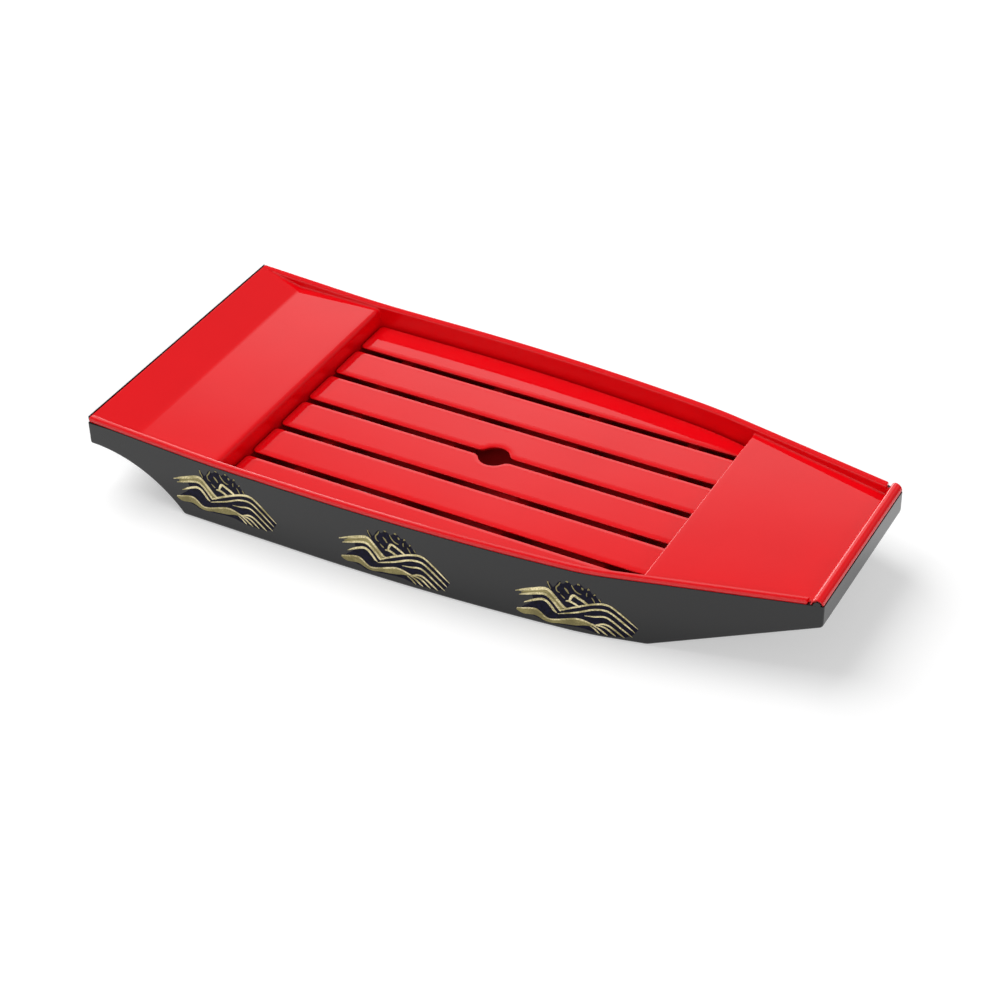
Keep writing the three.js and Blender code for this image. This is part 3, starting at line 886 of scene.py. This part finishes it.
def lip_shape(fillet):
    """Half-round bow lip: a bead bent over the bow wall, and its foot that runs into the bow deck."""
    inner = LIP_RADIUS - LIP_SKIN
    seat = LIP_CENTRE_Z - LIP_LEG
    start = math.degrees(math.asin(LIP_EDGE / inner))
    first = math.degrees(LIP_EDGE / LIP_RADIUS)
    edge_z = LIP_CENTRE_Z + LIP_EDGE
    # The last edge stops short of a quarter turn, so that it ends clear of the bead's first point
    bead = [
        *arc(LIP_CENTRE_X, LIP_CENTRE_Z, LIP_RADIUS, first, 180, 3 * ROUND_STEPS),
        (LIP_INNER_X, seat),
        (LIP_LEG_X, seat),
        *arc(LIP_CENTRE_X, LIP_CENTRE_Z, inner, 180, start, 2 * ROUND_STEPS),
        *arc(LIP_OUTER_X - LIP_SKIN + LIP_EDGE, edge_z, LIP_EDGE, 180, 270, EDGE_STEPS),
        *arc(LIP_OUTER_X - LIP_EDGE, edge_z, LIP_EDGE, 270, 270 + LIP_EDGE_TURN, EDGE_STEPS),
    ]
    rows = []
    for side in (-1, 1):
        for turn in QUARTER_TURNS[::-side]:
            outline = inset(bead, LIP_EDGE * (1 - math.sin(turn)))
            back = LIP_EDGE * (1 - math.cos(turn))
            rows.append([(x, side * (half_beam(x) - RIM_LEDGE - back), z) for x, z in outline])

    deck_under = BOW_DECK_Z - TRAY_SHELL
    foot = [
        (LIP_INNER_X - fillet, deck_under),
        (LIP_LEG_X, deck_under),
        (LIP_LEG_X, LIP_CENTRE_Z),
        (LIP_INNER_X, LIP_CENTRE_Z),
        *arc(LIP_INNER_X - fillet, BOW_DECK_Z + fillet, fillet, 0, -90),
    ]
    reach = HULL_WALL + CLEARANCE
    foot_rows = [[(x, side * (half_beam(x) - reach), z) for x, z in foot] for side in (-1, 1)]
    return joined(skin(rows, ring=True, caps=True), skin(foot_rows, ring=True, caps=True))


class SUSHIBOAT_OT_tray(bpy.types.Operator):
    """Makes the red tray with its rim, decks and well, and the bow lip"""
    bl_idname = "sushi_boat.make_tray"
    bl_label = "Make tray"

    def execute(self, context):
        settings = context.scene.sushi_boat
        coat = red_lacquer(settings.colours)
        make_piece("inner_tray_liner", skin(tray_rows(settings.tray)), coat, "hull",
                   ["inner_tray"], shell=TRAY_SHELL, closed=False)
        lip = lip_shape(settings.tray.deck_fillet / MM)
        make_piece("inner_tray_lip", lip, coat, "hull", ["inner_tray"])
        return {"FINISHED"}


# Drain grate

def slot_edge(line, side, hole):
    """Edge of a slat along a slot from stern to bow, with half of the finger hole where there is one."""
    stations = filled_in([SLAT_LOW.x, SLAT_HIGH.x], 2 * STATION_STEP)
    if not hole:
        return [(x, line) for x in stations]
    radius = FINGER_HOLE_DIAMETER / 2
    half_slot = abs(line)
    blend_y = half_slot + FINGER_HOLE_BLEND
    blend_x = math.sqrt((radius + FINGER_HOLE_BLEND) ** 2 - blend_y ** 2)
    tilt = math.degrees(math.atan2(blend_y, blend_x))
    notch = [
        *arc(-blend_x, blend_y, FINGER_HOLE_BLEND, -90, -tilt),
        *arc(0, 0, radius, 180 - tilt, tilt, 3 * ROUND_STEPS)[1:-1],
        *arc(blend_x, blend_y, FINGER_HOLE_BLEND, 180 + tilt, 270),
    ]
    half_length = blend_x + STATION_STEP
    before = [(x, line) for x in stations if x < GRATE_CENTRE_X - half_length]
    after = [(x, line) for x in stations if x > GRATE_CENTRE_X + half_length]
    return [*before, *((GRATE_CENTRE_X + x, side * y) for x, y in notch), *after]


def slat_outline(number, draw_in):
    """Plan of a slat, anticlockwise, drawn in by a distance and with its four corners rounded."""
    low, high = (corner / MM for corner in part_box(f"grate_slat_{number}"))
    stations = filled_in([SLAT_LOW.x, SLAT_HIGH.x])
    if number == 1:
        starboard = [(x, GRATE_INSET - half_beam(x)) for x in stations]
    else:
        starboard = slot_edge(low.y, 1, number == SLAT_COUNT // 2 + 1)
    if number == SLAT_COUNT:
        port = [(x, half_beam(x) - GRATE_INSET) for x in stations]
    else:
        port = slot_edge(high.y, -1, number == SLAT_COUNT // 2)
    sharp = inset(starboard + port[::-1], draw_in)
    corner = min(SLAT_CORNER, SLAT_CORNER_SHARE * (port[-1][1] - starboard[-1][1]))
    corner = max(corner - draw_in, SLAT_CORNER_LEAST)
    ends = (0, len(starboard) - 1, len(starboard), len(sharp) - 1)
    outline = []
    for i, point in enumerate(sharp):
        if i in ends:
            outline += rounded_corner(sharp[i - 1], point, sharp[(i + 1) % len(sharp)], corner)
        else:
            outline.append(point)
    return outline


def slat_shape(number, sizes):
    """One slat: a flat bar with a bevel round its top and sides that draw in below."""
    edge, draft = sizes.top_edge / MM, sizes.draft / MM
    width, depth, groove = sizes.ease_width / MM, sizes.ease_depth / MM, sizes.groove / MM
    levels = [(draft, SLAT_LOW.z)]
    tilt = math.degrees(math.atan2(depth, width - edge))
    shoulder = edge * math.cos(math.radians(tilt))
    for d, z in arc(0, 0, edge, 0, 90 - tilt, EDGE_STEPS):
        levels.append((edge - d, SLAT_HIGH.z - depth - shoulder + z))
    levels.append((width, SLAT_HIGH.z))
    levels.append((width + groove, SLAT_HIGH.z - groove / 2))
    levels.append((width + 2 * groove, SLAT_HIGH.z))
    rows = [[(x, y, z) for x, y in slat_outline(number, draw_in)] for draw_in, z in levels]
    return skin(rows, ring=True, caps=True)


class SUSHIBOAT_OT_grate(bpy.types.Operator):
    """Makes the slats of the lift-out grate and coats its battens"""
    bl_idname = "sushi_boat.make_grate"
    bl_label = "Make grate"

    def execute(self, context):
        settings = context.scene.sushi_boat
        coat = bpy.data.materials["red_lacquer_sprayed"]
        for number in range(1, SLAT_COUNT + 1):
            shape = slat_shape(number, settings.grate)
            make_piece(f"slat_{number}", shape, coat, "grate", [f"grate_slat_{number}"])
        for number in range(1, BATTEN_COUNT + 1):
            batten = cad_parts[f"grate_batten_{number}"]
            batten.data.materials.clear()
            batten.data.materials.append(coat)
        return {"FINISHED"}


# Printed waves. Points are millimetres along the hull from the wave's start and up from the table.

# Each stroke is a row of places with the width of the brush there.
LEFT_STROKES = (
    ((0, 13.4, 0.3), (4, 15.1, 1.1), (8, 16.6, 1.5), (11, 17.8, 1.4), (13, 18.1, 1.3), (14.6, 17.2, 1.2),
     (17, 14.5, 1.2), (19.5, 11.6, 1.2), (21.5, 10.4, 0.8)),
    ((1.5, 12, 0.3), (5, 13.3, 0.9), (9, 14.7, 1), (11.8, 15.3, 1.1), (13.8, 14.6, 1.1), (16, 12.4, 1.1),
     (18, 9.8, 1), (18.8, 8.8, 0.6)),
    ((3.7, 8.7, 0.3), (6.5, 10.4, 0.9), (9.5, 11.9, 1.1), (11.6, 12.5, 1.2), (13.4, 11.8, 1.2), (15, 10, 1.2),
     (16.2, 8.3, 1.1), (17.2, 7.4, 0.5)),
)
RIGHT_STROKES = (
    ((18.2, 8.8, 0.5), (21.5, 10.7, 1.1), (25, 12.5, 1.2), (28.5, 14.2, 1.2), (32, 15.6, 1.2),
     (35, 16.4, 1.4), (37, 16.4, 1.4), (39, 15.7, 1.3), (42, 13.4, 1.2), (45.5, 10.3, 1), (49.2, 7, 0.3)),
    ((17.5, 7, 0.3), (21, 8.3, 0.8), (25, 9.8, 1), (28, 11.2, 1.1), (31, 12.6, 1.1), (34, 13.4, 1.2),
     (36.5, 13.5, 1.2), (38.5, 12.8, 1.2), (41, 10.9, 1.2), (44.5, 7.9, 1.1), (48, 4.8, 0.4)),
    ((28.3, 9.2, 0.3), (32, 9.6, 0.9), (35, 10.3, 1.1), (37, 10.2, 1.1), (39, 9, 1.1), (42, 6.5, 1),
     (45.2, 3.9, 0.8), (47, 2.5, 0.2)),
    ((32.8, 5.6, 0.6), (35.5, 6.6, 1.1), (37.6, 6.4, 1.2), (39.8, 5, 1.1), (42.2, 3, 1), (44, 1.6, 0.3)),
    ((32.6, 5.4, 0.6), (35.4, 5.3, 1), (37.4, 4.3, 1.1), (39, 2.9, 1), (40.6, 1.6, 0.3)),
    ((32, 5.2, 0.5), (34.2, 4, 0.9), (36, 2.6, 1), (37.4, 1.6, 0.3)),
    ((30.6, 4.6, 0.4), (32.4, 3.4, 0.8), (33.6, 2.2, 0.8), (34.4, 1.6, 0.3)),
)
KEY_STROKES = (
    ((22.4, 15, 0.8), (23.3, 17.2, 1.2), (24.3, 18, 1.2), (26.4, 17, 1.2), (28.2, 16, 1.2),
     (29.8, 14.9, 0.8)),
    ((21, 14.5, 0.5), (22.6, 14.7, 1.1), (24.6, 14, 1.1), (26.6, 12.9, 0.8)),
)
CREST_WASH = (
    (2.5, 13.2, 0.5), (6, 14.8, 1.9), (9.5, 16.1, 2.6), (12.4, 16.6, 2.8), (14.4, 15.8, 2.6),
    (16.8, 13.2, 2.2), (19, 10.4, 1.6), (20.2, 9.3, 0.6),
)
SWELL = (
    (0.4, 4.5, 0.6), (3, 4.2, 2.6), (6, 4.9, 3.2), (8.4, 5.1, 3.2), (10.4, 4.2, 2.6), (12.4, 3, 2),
    (15, 2.7, 1.8), (18, 3.4, 1.9), (21.5, 4.3, 2.8), (25, 5.1, 3.4), (28, 5.6, 2.7),
    (31, 5.4, 1.4), (33.2, 5.3, 0.6),
)
SWELL_EDGE = (
    (0.6, 5, 0.3), (3, 5.6, 0.6), (6, 6.5, 0.7), (8.5, 6.8, 0.7), (10.2, 6, 0.7), (12.2, 4.3, 0.7),
    (14.2, 3.5, 0.7), (17.5, 4.2, 0.7), (21, 5.5, 0.7), (25, 6.8, 0.8), (28, 6.8, 0.8),
    (31, 5.9, 0.7), (33, 5.5, 0.4),
)
CURLS = (
    ((13.6, 22, 0.6), (13.8, 20.8, 0.5), (14.4, 19.6, 0.4), (14.8, 18.6, 0.3)),
    ((18.6, 23, 0.4), (18, 21.6, 0.6), (17, 20.2, 0.6), (17.3, 18.5, 0.6), (18.4, 17.9, 0.3)),
    ((18.8, 16.9, 0.3), (19.8, 16, 0.7), (20.5, 15.4, 0.5)),
    ((20.9, 24, 0.4), (21.5, 24, 0.7), (22, 23.8, 0.3)),
    ((20.3, 20.8, 0.4), (21.2, 19.8, 0.8), (22.1, 18.4, 0.4)),
    ((23.3, 22.8, 0.4), (24, 21.4, 0.6), (25, 20.1, 0.6), (26.2, 19.4, 0.7), (27.3, 19.2, 0.3)),
    ((25.6, 23.7, 0.4), (26.1, 24.1, 0.8), (26.6, 23.6, 0.3)),
    ((27.2, 22.8, 0.4), (27.5, 22.3, 0.9), (27.7, 21.7, 0.4)),
    ((29.6, 21.9, 0.3), (30, 22.7, 0.7), (30.3, 22.1, 0.3)),
    ((29.5, 20.8, 0.3), (29.3, 19.9, 0.5), (29.4, 18.9, 0.3)),
    ((31.2, 18.8, 0.3), (31.9, 17.6, 0.5), (32.5, 16.2, 0.3)),
    ((32, 19.9, 0.3), (32.4, 20.4, 0.7), (32.6, 20.7, 0.3)),
    ((33.9, 18.6, 0.4), (34.3, 17.9, 0.5), (34.7, 17.3, 0.3)),
)

# Outlines of the navy patches below the strokes
GROUND = (
    (6.5, 14.4), (8, 16.2), (12.9, 18.5), (15.2, 17.6), (18, 14.2), (21.5, 10.8), (26, 13.4), (31, 15.6),
    (36.5, 16.9), (39.5, 16.1), (44, 12.3), (48.8, 7.6), (48, 4.6), (46, 2.7), (43.5, 1.7), (38.5, 1.5),
    (33.5, 1.5), (29, 2.6), (24, 2.6), (18, 2), (12, 1.6), (9.6, 2.6), (6, 3.4), (3.4, 4), (2.6, 5.6),
    (3.6, 7), (6.2, 9.2), (7.4, 11.6),
)
SPRAY = (
    (14.4, 18.4), (13.2, 20.6), (13.5, 22.5), (14.6, 21), (15.6, 19.7), (16.6, 20.8), (17.4, 22.4),
    (18.6, 23.6), (19.3, 22.4), (20.2, 22.8), (21.4, 24.5), (22.8, 23.4), (24, 22.6), (25, 23.6),
    (26.1, 24.6), (27.4, 23.6), (28.6, 22.4), (29.4, 22.8), (30.3, 23.2), (30.8, 21.4), (31.6, 20.4),
    (32.8, 21.1), (33, 19.4), (33.8, 18.4), (34.6, 18.8), (35, 17), (32, 15.4), (28, 13.8), (24, 12),
    (21.4, 10.6), (18.5, 13.8), (16.4, 16.4),
)

# Points in each span of a stroke, breadth of the fine strokes, and the hand's wander and thinnest line
STROKE_STEPS = 5
FINE_BREADTH = 0.8
WANDER = 0.12
THINNEST = 0.8

# How far the print stays below the rim
PRINT_MARGIN = 0.5

# Heights of the films above the hull's face, in layers of ink
GROUND_LAYER = 0.5
SPRAY_LAYER = 0.8
WASH_LAYER = 1.1
LINE_LAYER = 1.4


def through(points):
    """A smooth curve through points, as closely spaced points."""
    points = [Vector(p) for p in points]
    padded = [2 * points[0] - points[1], *points, 2 * points[-1] - points[-2]]
    spans = len(points) - 1
    curve = []
    for i in range(spans * STROKE_STEPS + 1):
        span = min(i // STROKE_STEPS, spans - 1)
        t = i / STROKE_STEPS - span
        a, b, c, d = padded[span:span + 4]
        twice = 2 * b + (c - a) * t + (2 * a - 5 * b + 4 * c - d) * t ** 2 + (3 * b - a - 3 * c + d) * t ** 3
        curve.append(twice / 2)
    return curve


def sliced(outline):
    """A flat outline cut into upright strips, so that it can follow the curve of the hull."""
    work = bmesh.new()
    work.faces.new([work.verts.new((x, z, 0)) for x, z in outline])
    ends = [min(x for x, z in outline), max(x for x, z in outline)]
    for cut in filled_in(ends)[1:-1]:
        everything = work.verts[:] + work.edges[:] + work.faces[:]
        bmesh.ops.bisect_plane(work, geom=everything, plane_co=(cut, 0, 0), plane_no=(1, 0, 0))
    work.verts.index_update()
    points = [vert.co.xy for vert in work.verts]
    faces = [tuple(vert.index for vert in face.verts) for face in work.faces]
    work.free()
    return points, faces


class WavePrint:
    """Collects the films of ink of one wave and lays them on a side of the hull."""

    def __init__(self, side, place, ink, chance):
        self.side = side
        self.place = Vector(place)
        self.ink = ink
        self.chance = chance
        self.gold = []
        self.wash = []
        self.navy = []

    def on_side(self, point, layer):
        """Puts a drawn point on the hull's side, a number of ink layers above its face."""
        x, z = point + self.place
        z = min(z, hull_top(x, PRINT_MARGIN))
        return (x, self.side * (half_beam(x) - PRINT_DEPTH + layer * self.ink), z)

    def stroke(self, film, points, layer, breadth=1.0):
        """A stroke of ink whose width varies along it, with a little of the hand's wander."""
        wander = Vector([self.chance.uniform(-WANDER, WANDER) for axis in range(2)])
        full = breadth * self.chance.uniform(THINNEST, 1.0)
        curve = through(points)
        rows = []
        for i, point in enumerate(curve):
            ahead = curve[min(i + 1, len(curve) - 1)].xy - curve[max(i - 1, 0)].xy
            across = Vector((-ahead.y, ahead.x)).normalized() * (point.z * full / 2)
            middle = point.xy + wander
            left, right = middle + across, middle - across
            edges = [(left, layer), (right, layer), (right, 0), (left, 0)]
            rows.append([self.on_side(edge, height) for edge, height in edges])
        film.append(skin(rows, ring=True, caps=True))

    def patch(self, outline, layer):
        """A navy patch."""
        points, faces = sliced(outline)
        if self.side < 0:
            faces = [face[::-1] for face in faces]
        self.navy.append(([self.on_side(point, layer) for point in points], faces))


def draw_wave(wave):
    """Draws one wave: dark ground and spray, then the wash of the swell and the gold lines over them."""
    wave.patch(through([*GROUND, GROUND[0]])[:-1], GROUND_LAYER)
    wave.patch(SPRAY, SPRAY_LAYER)
    for points in (SWELL, CREST_WASH, *CURLS):
        wave.stroke(wave.wash, points, WASH_LAYER)
    strokes = (*LEFT_STROKES, *RIGHT_STROKES, *KEY_STROKES, SWELL_EDGE)
    for number, points in enumerate(strokes):
        breadth = FINE_BREADTH if points in RIGHT_STROKES else 1.0
        wave.stroke(wave.gold, points, LINE_LAYER + number / len(strokes), breadth)


class SUSHIBOAT_OT_waves(bpy.types.Operator):
    """Prints the gold and navy waves on both sides of the hull"""
    bl_idname = "sushi_boat.make_waves"
    bl_label = "Make waves"

    def execute(self, context):
        settings = context.scene.sushi_boat
        waves = settings.waves
        gold = gold_print(settings.colours, "gold_powder_ink_printed", settings.colours.gold, 1.0)
        navy = navy_print(settings.colours)
        wash = gold_print(settings.colours, "gold_powder_ink_washed", settings.colours.gold_thin, WASH_SHARE)
        for side, side_name in ((-1, "starboard"), (1, "port")):
            for number, (start, lift) in enumerate(zip(waves.places, waves.lifts), 1):
                chance = random.Random(waves.seed + number)
                wave = WavePrint(side, (start / MM, lift / MM), waves.ink / MM, chance)
                draw_wave(wave)
                films = (("navy", wave.navy, navy), ("wash", wave.wash, wash), ("gold", wave.gold, gold))
                for ink, film, material in films:
                    make_piece(f"wave_{ink}_{side_name}_{number}", joined(*film), material, "hull",
                               closed=ink != "navy")
        return {"FINISHED"}


# Stage: floor, light and camera

# The floor's own light rises between these distances from its middle, in metres
GLOW_NEAR = 0.2
GLOW_FAR = 1.0

# How far the floor lies below the boat's bottom, in millimetres
FLOOR_DROP = 0.1

# What the gloss sees: heights and sides are parts of a direction, from -1 to 1, with the light there
PANEL_TOP = (0.544, 0.658)
PANEL_LIGHT = (1.35, 0.28)
PANEL_FOOT = (0.3, 0.5)
PANEL_FOOT_SHARE = 0.5
PANEL_RIGHT = (0.1, 0.4)
PANEL_RIGHT_SHARE = 0.25
PANEL_LEFT = (-0.394, -0.594)
PANEL_LEFT_DROP = 0.092


def make_world(stage):
    """White all round for the camera, and even ambient light for all but the gloss.

    Gloss sees a bright panel behind the boat and a dim room. The panel's soft top edge stands lower at its
    left end.
    """
    world = bpy.data.worlds.new("studio")
    bpy.context.scene.world = world
    world.use_nodes = True
    tree = world.node_tree
    tree.nodes.clear()
    ray = add_node(tree, "ShaderNodeLightPath")
    place = add_node(tree, "ShaderNodeTexCoord").outputs["Generated"]
    axes = add_node(tree, "ShaderNodeSeparateXYZ", {"Vector": place}).outputs
    left = add_node(tree, "ShaderNodeMapRange", {
        "Value": axes["X"], "From Min": PANEL_LEFT[0], "From Max": PANEL_LEFT[1],
        "To Min": 0.0, "To Max": PANEL_LEFT_DROP,
    })
    level = add_node(tree, "ShaderNodeMath", {0: axes["Z"], 1: left.outputs["Result"]}, operation="ADD")
    top = add_node(tree, "ShaderNodeMapRange", {
        "Value": level.outputs["Value"], "From Min": PANEL_TOP[0], "From Max": PANEL_TOP[1],
        "To Min": PANEL_LIGHT[0], "To Max": PANEL_LIGHT[1],
    }, interpolation_type="SMOOTHSTEP")
    foot = add_node(tree, "ShaderNodeMapRange", {
        "Value": axes["Z"], "From Min": PANEL_FOOT[0], "From Max": PANEL_FOOT[1],
        "To Min": PANEL_FOOT_SHARE, "To Max": 1.0,
    }, interpolation_type="SMOOTHSTEP")
    right = add_node(tree, "ShaderNodeMapRange", {
        "Value": axes["X"], "From Min": PANEL_RIGHT[0], "From Max": PANEL_RIGHT[1],
        "To Min": 1.0, "To Max": PANEL_RIGHT_SHARE,
    }, interpolation_type="SMOOTHSTEP")
    upright = add_node(tree, "ShaderNodeMath", {
        0: top.outputs["Result"], 1: foot.outputs["Result"],
    }, operation="MULTIPLY")
    room = add_node(tree, "ShaderNodeMath", {
        0: upright.outputs["Value"], 1: right.outputs["Result"],
    }, operation="MULTIPLY")
    seen = add_node(tree, "ShaderNodeMath", {
        0: ray.outputs["Is Camera Ray"], 1: ray.outputs["Is Transmission Ray"],
    }, operation="MAXIMUM")
    gloss = add_node(tree, "ShaderNodeMix", {
        "Factor": ray.outputs["Is Glossy Ray"], "A": stage.ambient, "B": room.outputs["Value"],
    })
    strength = add_node(tree, "ShaderNodeMix", {
        "Factor": seen.outputs["Value"], "A": gloss.outputs["Result"], "B": 1.0,
    })
    white = add_node(tree, "ShaderNodeBackground", {
        "Color": (1, 1, 1, 1), "Strength": strength.outputs["Result"],
    })
    add_node(tree, "ShaderNodeOutputWorld", {"Surface": white.outputs["Background"]})


def make_floor(stage):
    """A plain pale table top. It adds light of its own for the eye, so that it runs to white far off."""
    size = stage.floor_size / 2
    mesh = bpy.data.meshes.new("floor")
    corners = [(-size, -size), (size, -size), (size, size), (-size, size)]
    mesh.from_pydata([(x, y, -FLOOR_DROP * MM) for x, y in corners], [], [(0, 1, 2, 3)])
    floor = bpy.data.objects.new("floor", mesh)
    bpy.context.scene.collection.objects.link(floor)
    material, tree = new_material("painted_table_matt")
    ray = add_node(tree, "ShaderNodeLightPath")
    seen = add_node(tree, "ShaderNodeMath", {
        0: ray.outputs["Is Camera Ray"], 1: ray.outputs["Is Glossy Ray"],
    }, operation="MAXIMUM")
    also = add_node(tree, "ShaderNodeMath", {
        0: seen.outputs["Value"], 1: ray.outputs["Is Transmission Ray"],
    }, operation="MAXIMUM")
    place = add_node(tree, "ShaderNodeTexCoord").outputs["Object"]
    away = add_node(tree, "ShaderNodeVectorMath", {0: place}, operation="LENGTH").outputs["Value"]
    rising = add_node(tree, "ShaderNodeMapRange", {
        "Value": away, "From Min": GLOW_NEAR, "From Max": GLOW_FAR, "To Min": stage.floor_glow, "To Max": 1.0,
    })
    glow = add_node(tree, "ShaderNodeMath", {
        0: also.outputs["Value"], 1: rising.outputs["Result"],
    }, operation="MULTIPLY")
    shader = add_node(tree, "ShaderNodeBsdfPrincipled", {
        "Base Color": tuple(stage.floor_colour), "Roughness": 0.9, "Specular IOR Level": 0.0,
        "Emission Color": (1, 1, 1, 1), "Emission Strength": glow.outputs["Value"],
    })
    finish_material(tree, shader)
    mesh.materials.append(material)


# Places and sizes of the lamps, in metres
KEY_PLACE = (-1.7, 0.5, 2.7)
KEY_SIZE = (2.6, 2.6)
BACK_PLACE = (-1.33, 1.25, 0.25)
BACK_SIZE = (1.34, 0.4)
FRONT_PLACE = (1.5, -1.2, 1.1)
FRONT_SIZE = (1.6, 1.0)


def make_lamp(name, place, size, power, mirrored):
    """A softbox that looks at the boat. Where it isn't mirrored, the gloss doesn't show it."""
    light = bpy.data.lights.new(name, "AREA")
    light.shape = "RECTANGLE"
    light.size, light.size_y = size
    light.energy = power
    lamp = bpy.data.objects.new(name, light)
    lamp.location = place
    lamp.rotation_euler = Vector(place).to_track_quat("Z", "Y").to_euler()
    lamp.visible_glossy = mirrored
    bpy.context.scene.collection.objects.link(lamp)


def make_camera():
    """Camera at the photograph's place."""
    azimuth, elevation, roll = (math.radians(v) for v in (CAMERA_AZIMUTH, CAMERA_ELEVATION, CAMERA_ROLL))
    back = Vector((math.sin(azimuth) * math.cos(elevation), -math.cos(azimuth) * math.cos(elevation),
                   math.sin(elevation)))
    right = Vector((math.cos(azimuth), math.sin(azimuth), 0))
    up = back.cross(right)
    turned_right = math.cos(roll) * right - math.sin(roll) * up
    turned_up = math.sin(roll) * right + math.cos(roll) * up
    lens = bpy.data.cameras.new("camera")
    lens.sensor_width = CAMERA_SENSOR
    lens.lens = CAMERA_LENS
    lens.clip_start = CAMERA_CLIP * MM
    camera = bpy.data.objects.new("camera", lens)
    turn = Matrix((turned_right, turned_up, back)).transposed().to_4x4()
    camera.matrix_world = Matrix.Translation(Vector(CAMERA_PLACE) * MM) @ turn
    bpy.context.scene.collection.objects.link(camera)
    bpy.context.scene.camera = camera


class SUSHIBOAT_OT_stage(bpy.types.Operator):
    """Sets the floor, the light and the camera"""
    bl_idname = "sushi_boat.set_stage"
    bl_label = "Set stage"

    def execute(self, context):
        stage = context.scene.sushi_boat.stage
        make_world(stage)
        make_floor(stage)
        make_lamp("key_softbox", KEY_PLACE, KEY_SIZE, stage.key_power, False)
        make_lamp("back_strip", BACK_PLACE, BACK_SIZE, stage.back_power, True)
        make_lamp("front_fill", FRONT_PLACE, FRONT_SIZE, stage.front_power, False)
        make_camera()
        context.scene.view_settings.view_transform = "Standard"
        return {"FINISHED"}


class SUSHIBOAT_PT_panel(bpy.types.Panel):
    """Lists the steps that dress the boat"""
    bl_idname = "SUSHIBOAT_PT_panel"
    bl_label = "Sushi boat"
    bl_space_type = "VIEW_3D"
    bl_region_type = "UI"
    bl_category = "Sushi boat"

    def draw(self, context):
        for step in STEPS:
            self.layout.operator(step.bl_idname)


STEPS = (SUSHIBOAT_OT_hull, SUSHIBOAT_OT_tray, SUSHIBOAT_OT_grate, SUSHIBOAT_OT_waves, SUSHIBOAT_OT_stage)
GROUPS = (
    LacquerColours, LacquerFinish, HullSizes, TraySizes, GrateSizes, WaveSizes, StageSettings, BoatSettings,
)
CLASSES = (*GROUPS, *STEPS, SUSHIBOAT_PT_panel)


def register():
    """Registers the classes and hangs the settings on the scene."""
    for cls in CLASSES:
        bpy.utils.register_class(cls)
    bpy.types.Scene.sushi_boat = PointerProperty(type=BoatSettings)


def unregister():
    """Takes the settings and the classes away again."""
    del bpy.types.Scene.sushi_boat
    for cls in reversed(CLASSES):
        bpy.utils.unregister_class(cls)


def main():
    """Dresses the boat step by step."""
    register()
    bpy.ops.sushi_boat.make_hull()
    bpy.ops.sushi_boat.make_tray()
    bpy.ops.sushi_boat.make_grate()
    bpy.ops.sushi_boat.make_waves()
    bpy.ops.sushi_boat.set_stage()


if __name__ == "__main__":
    main()
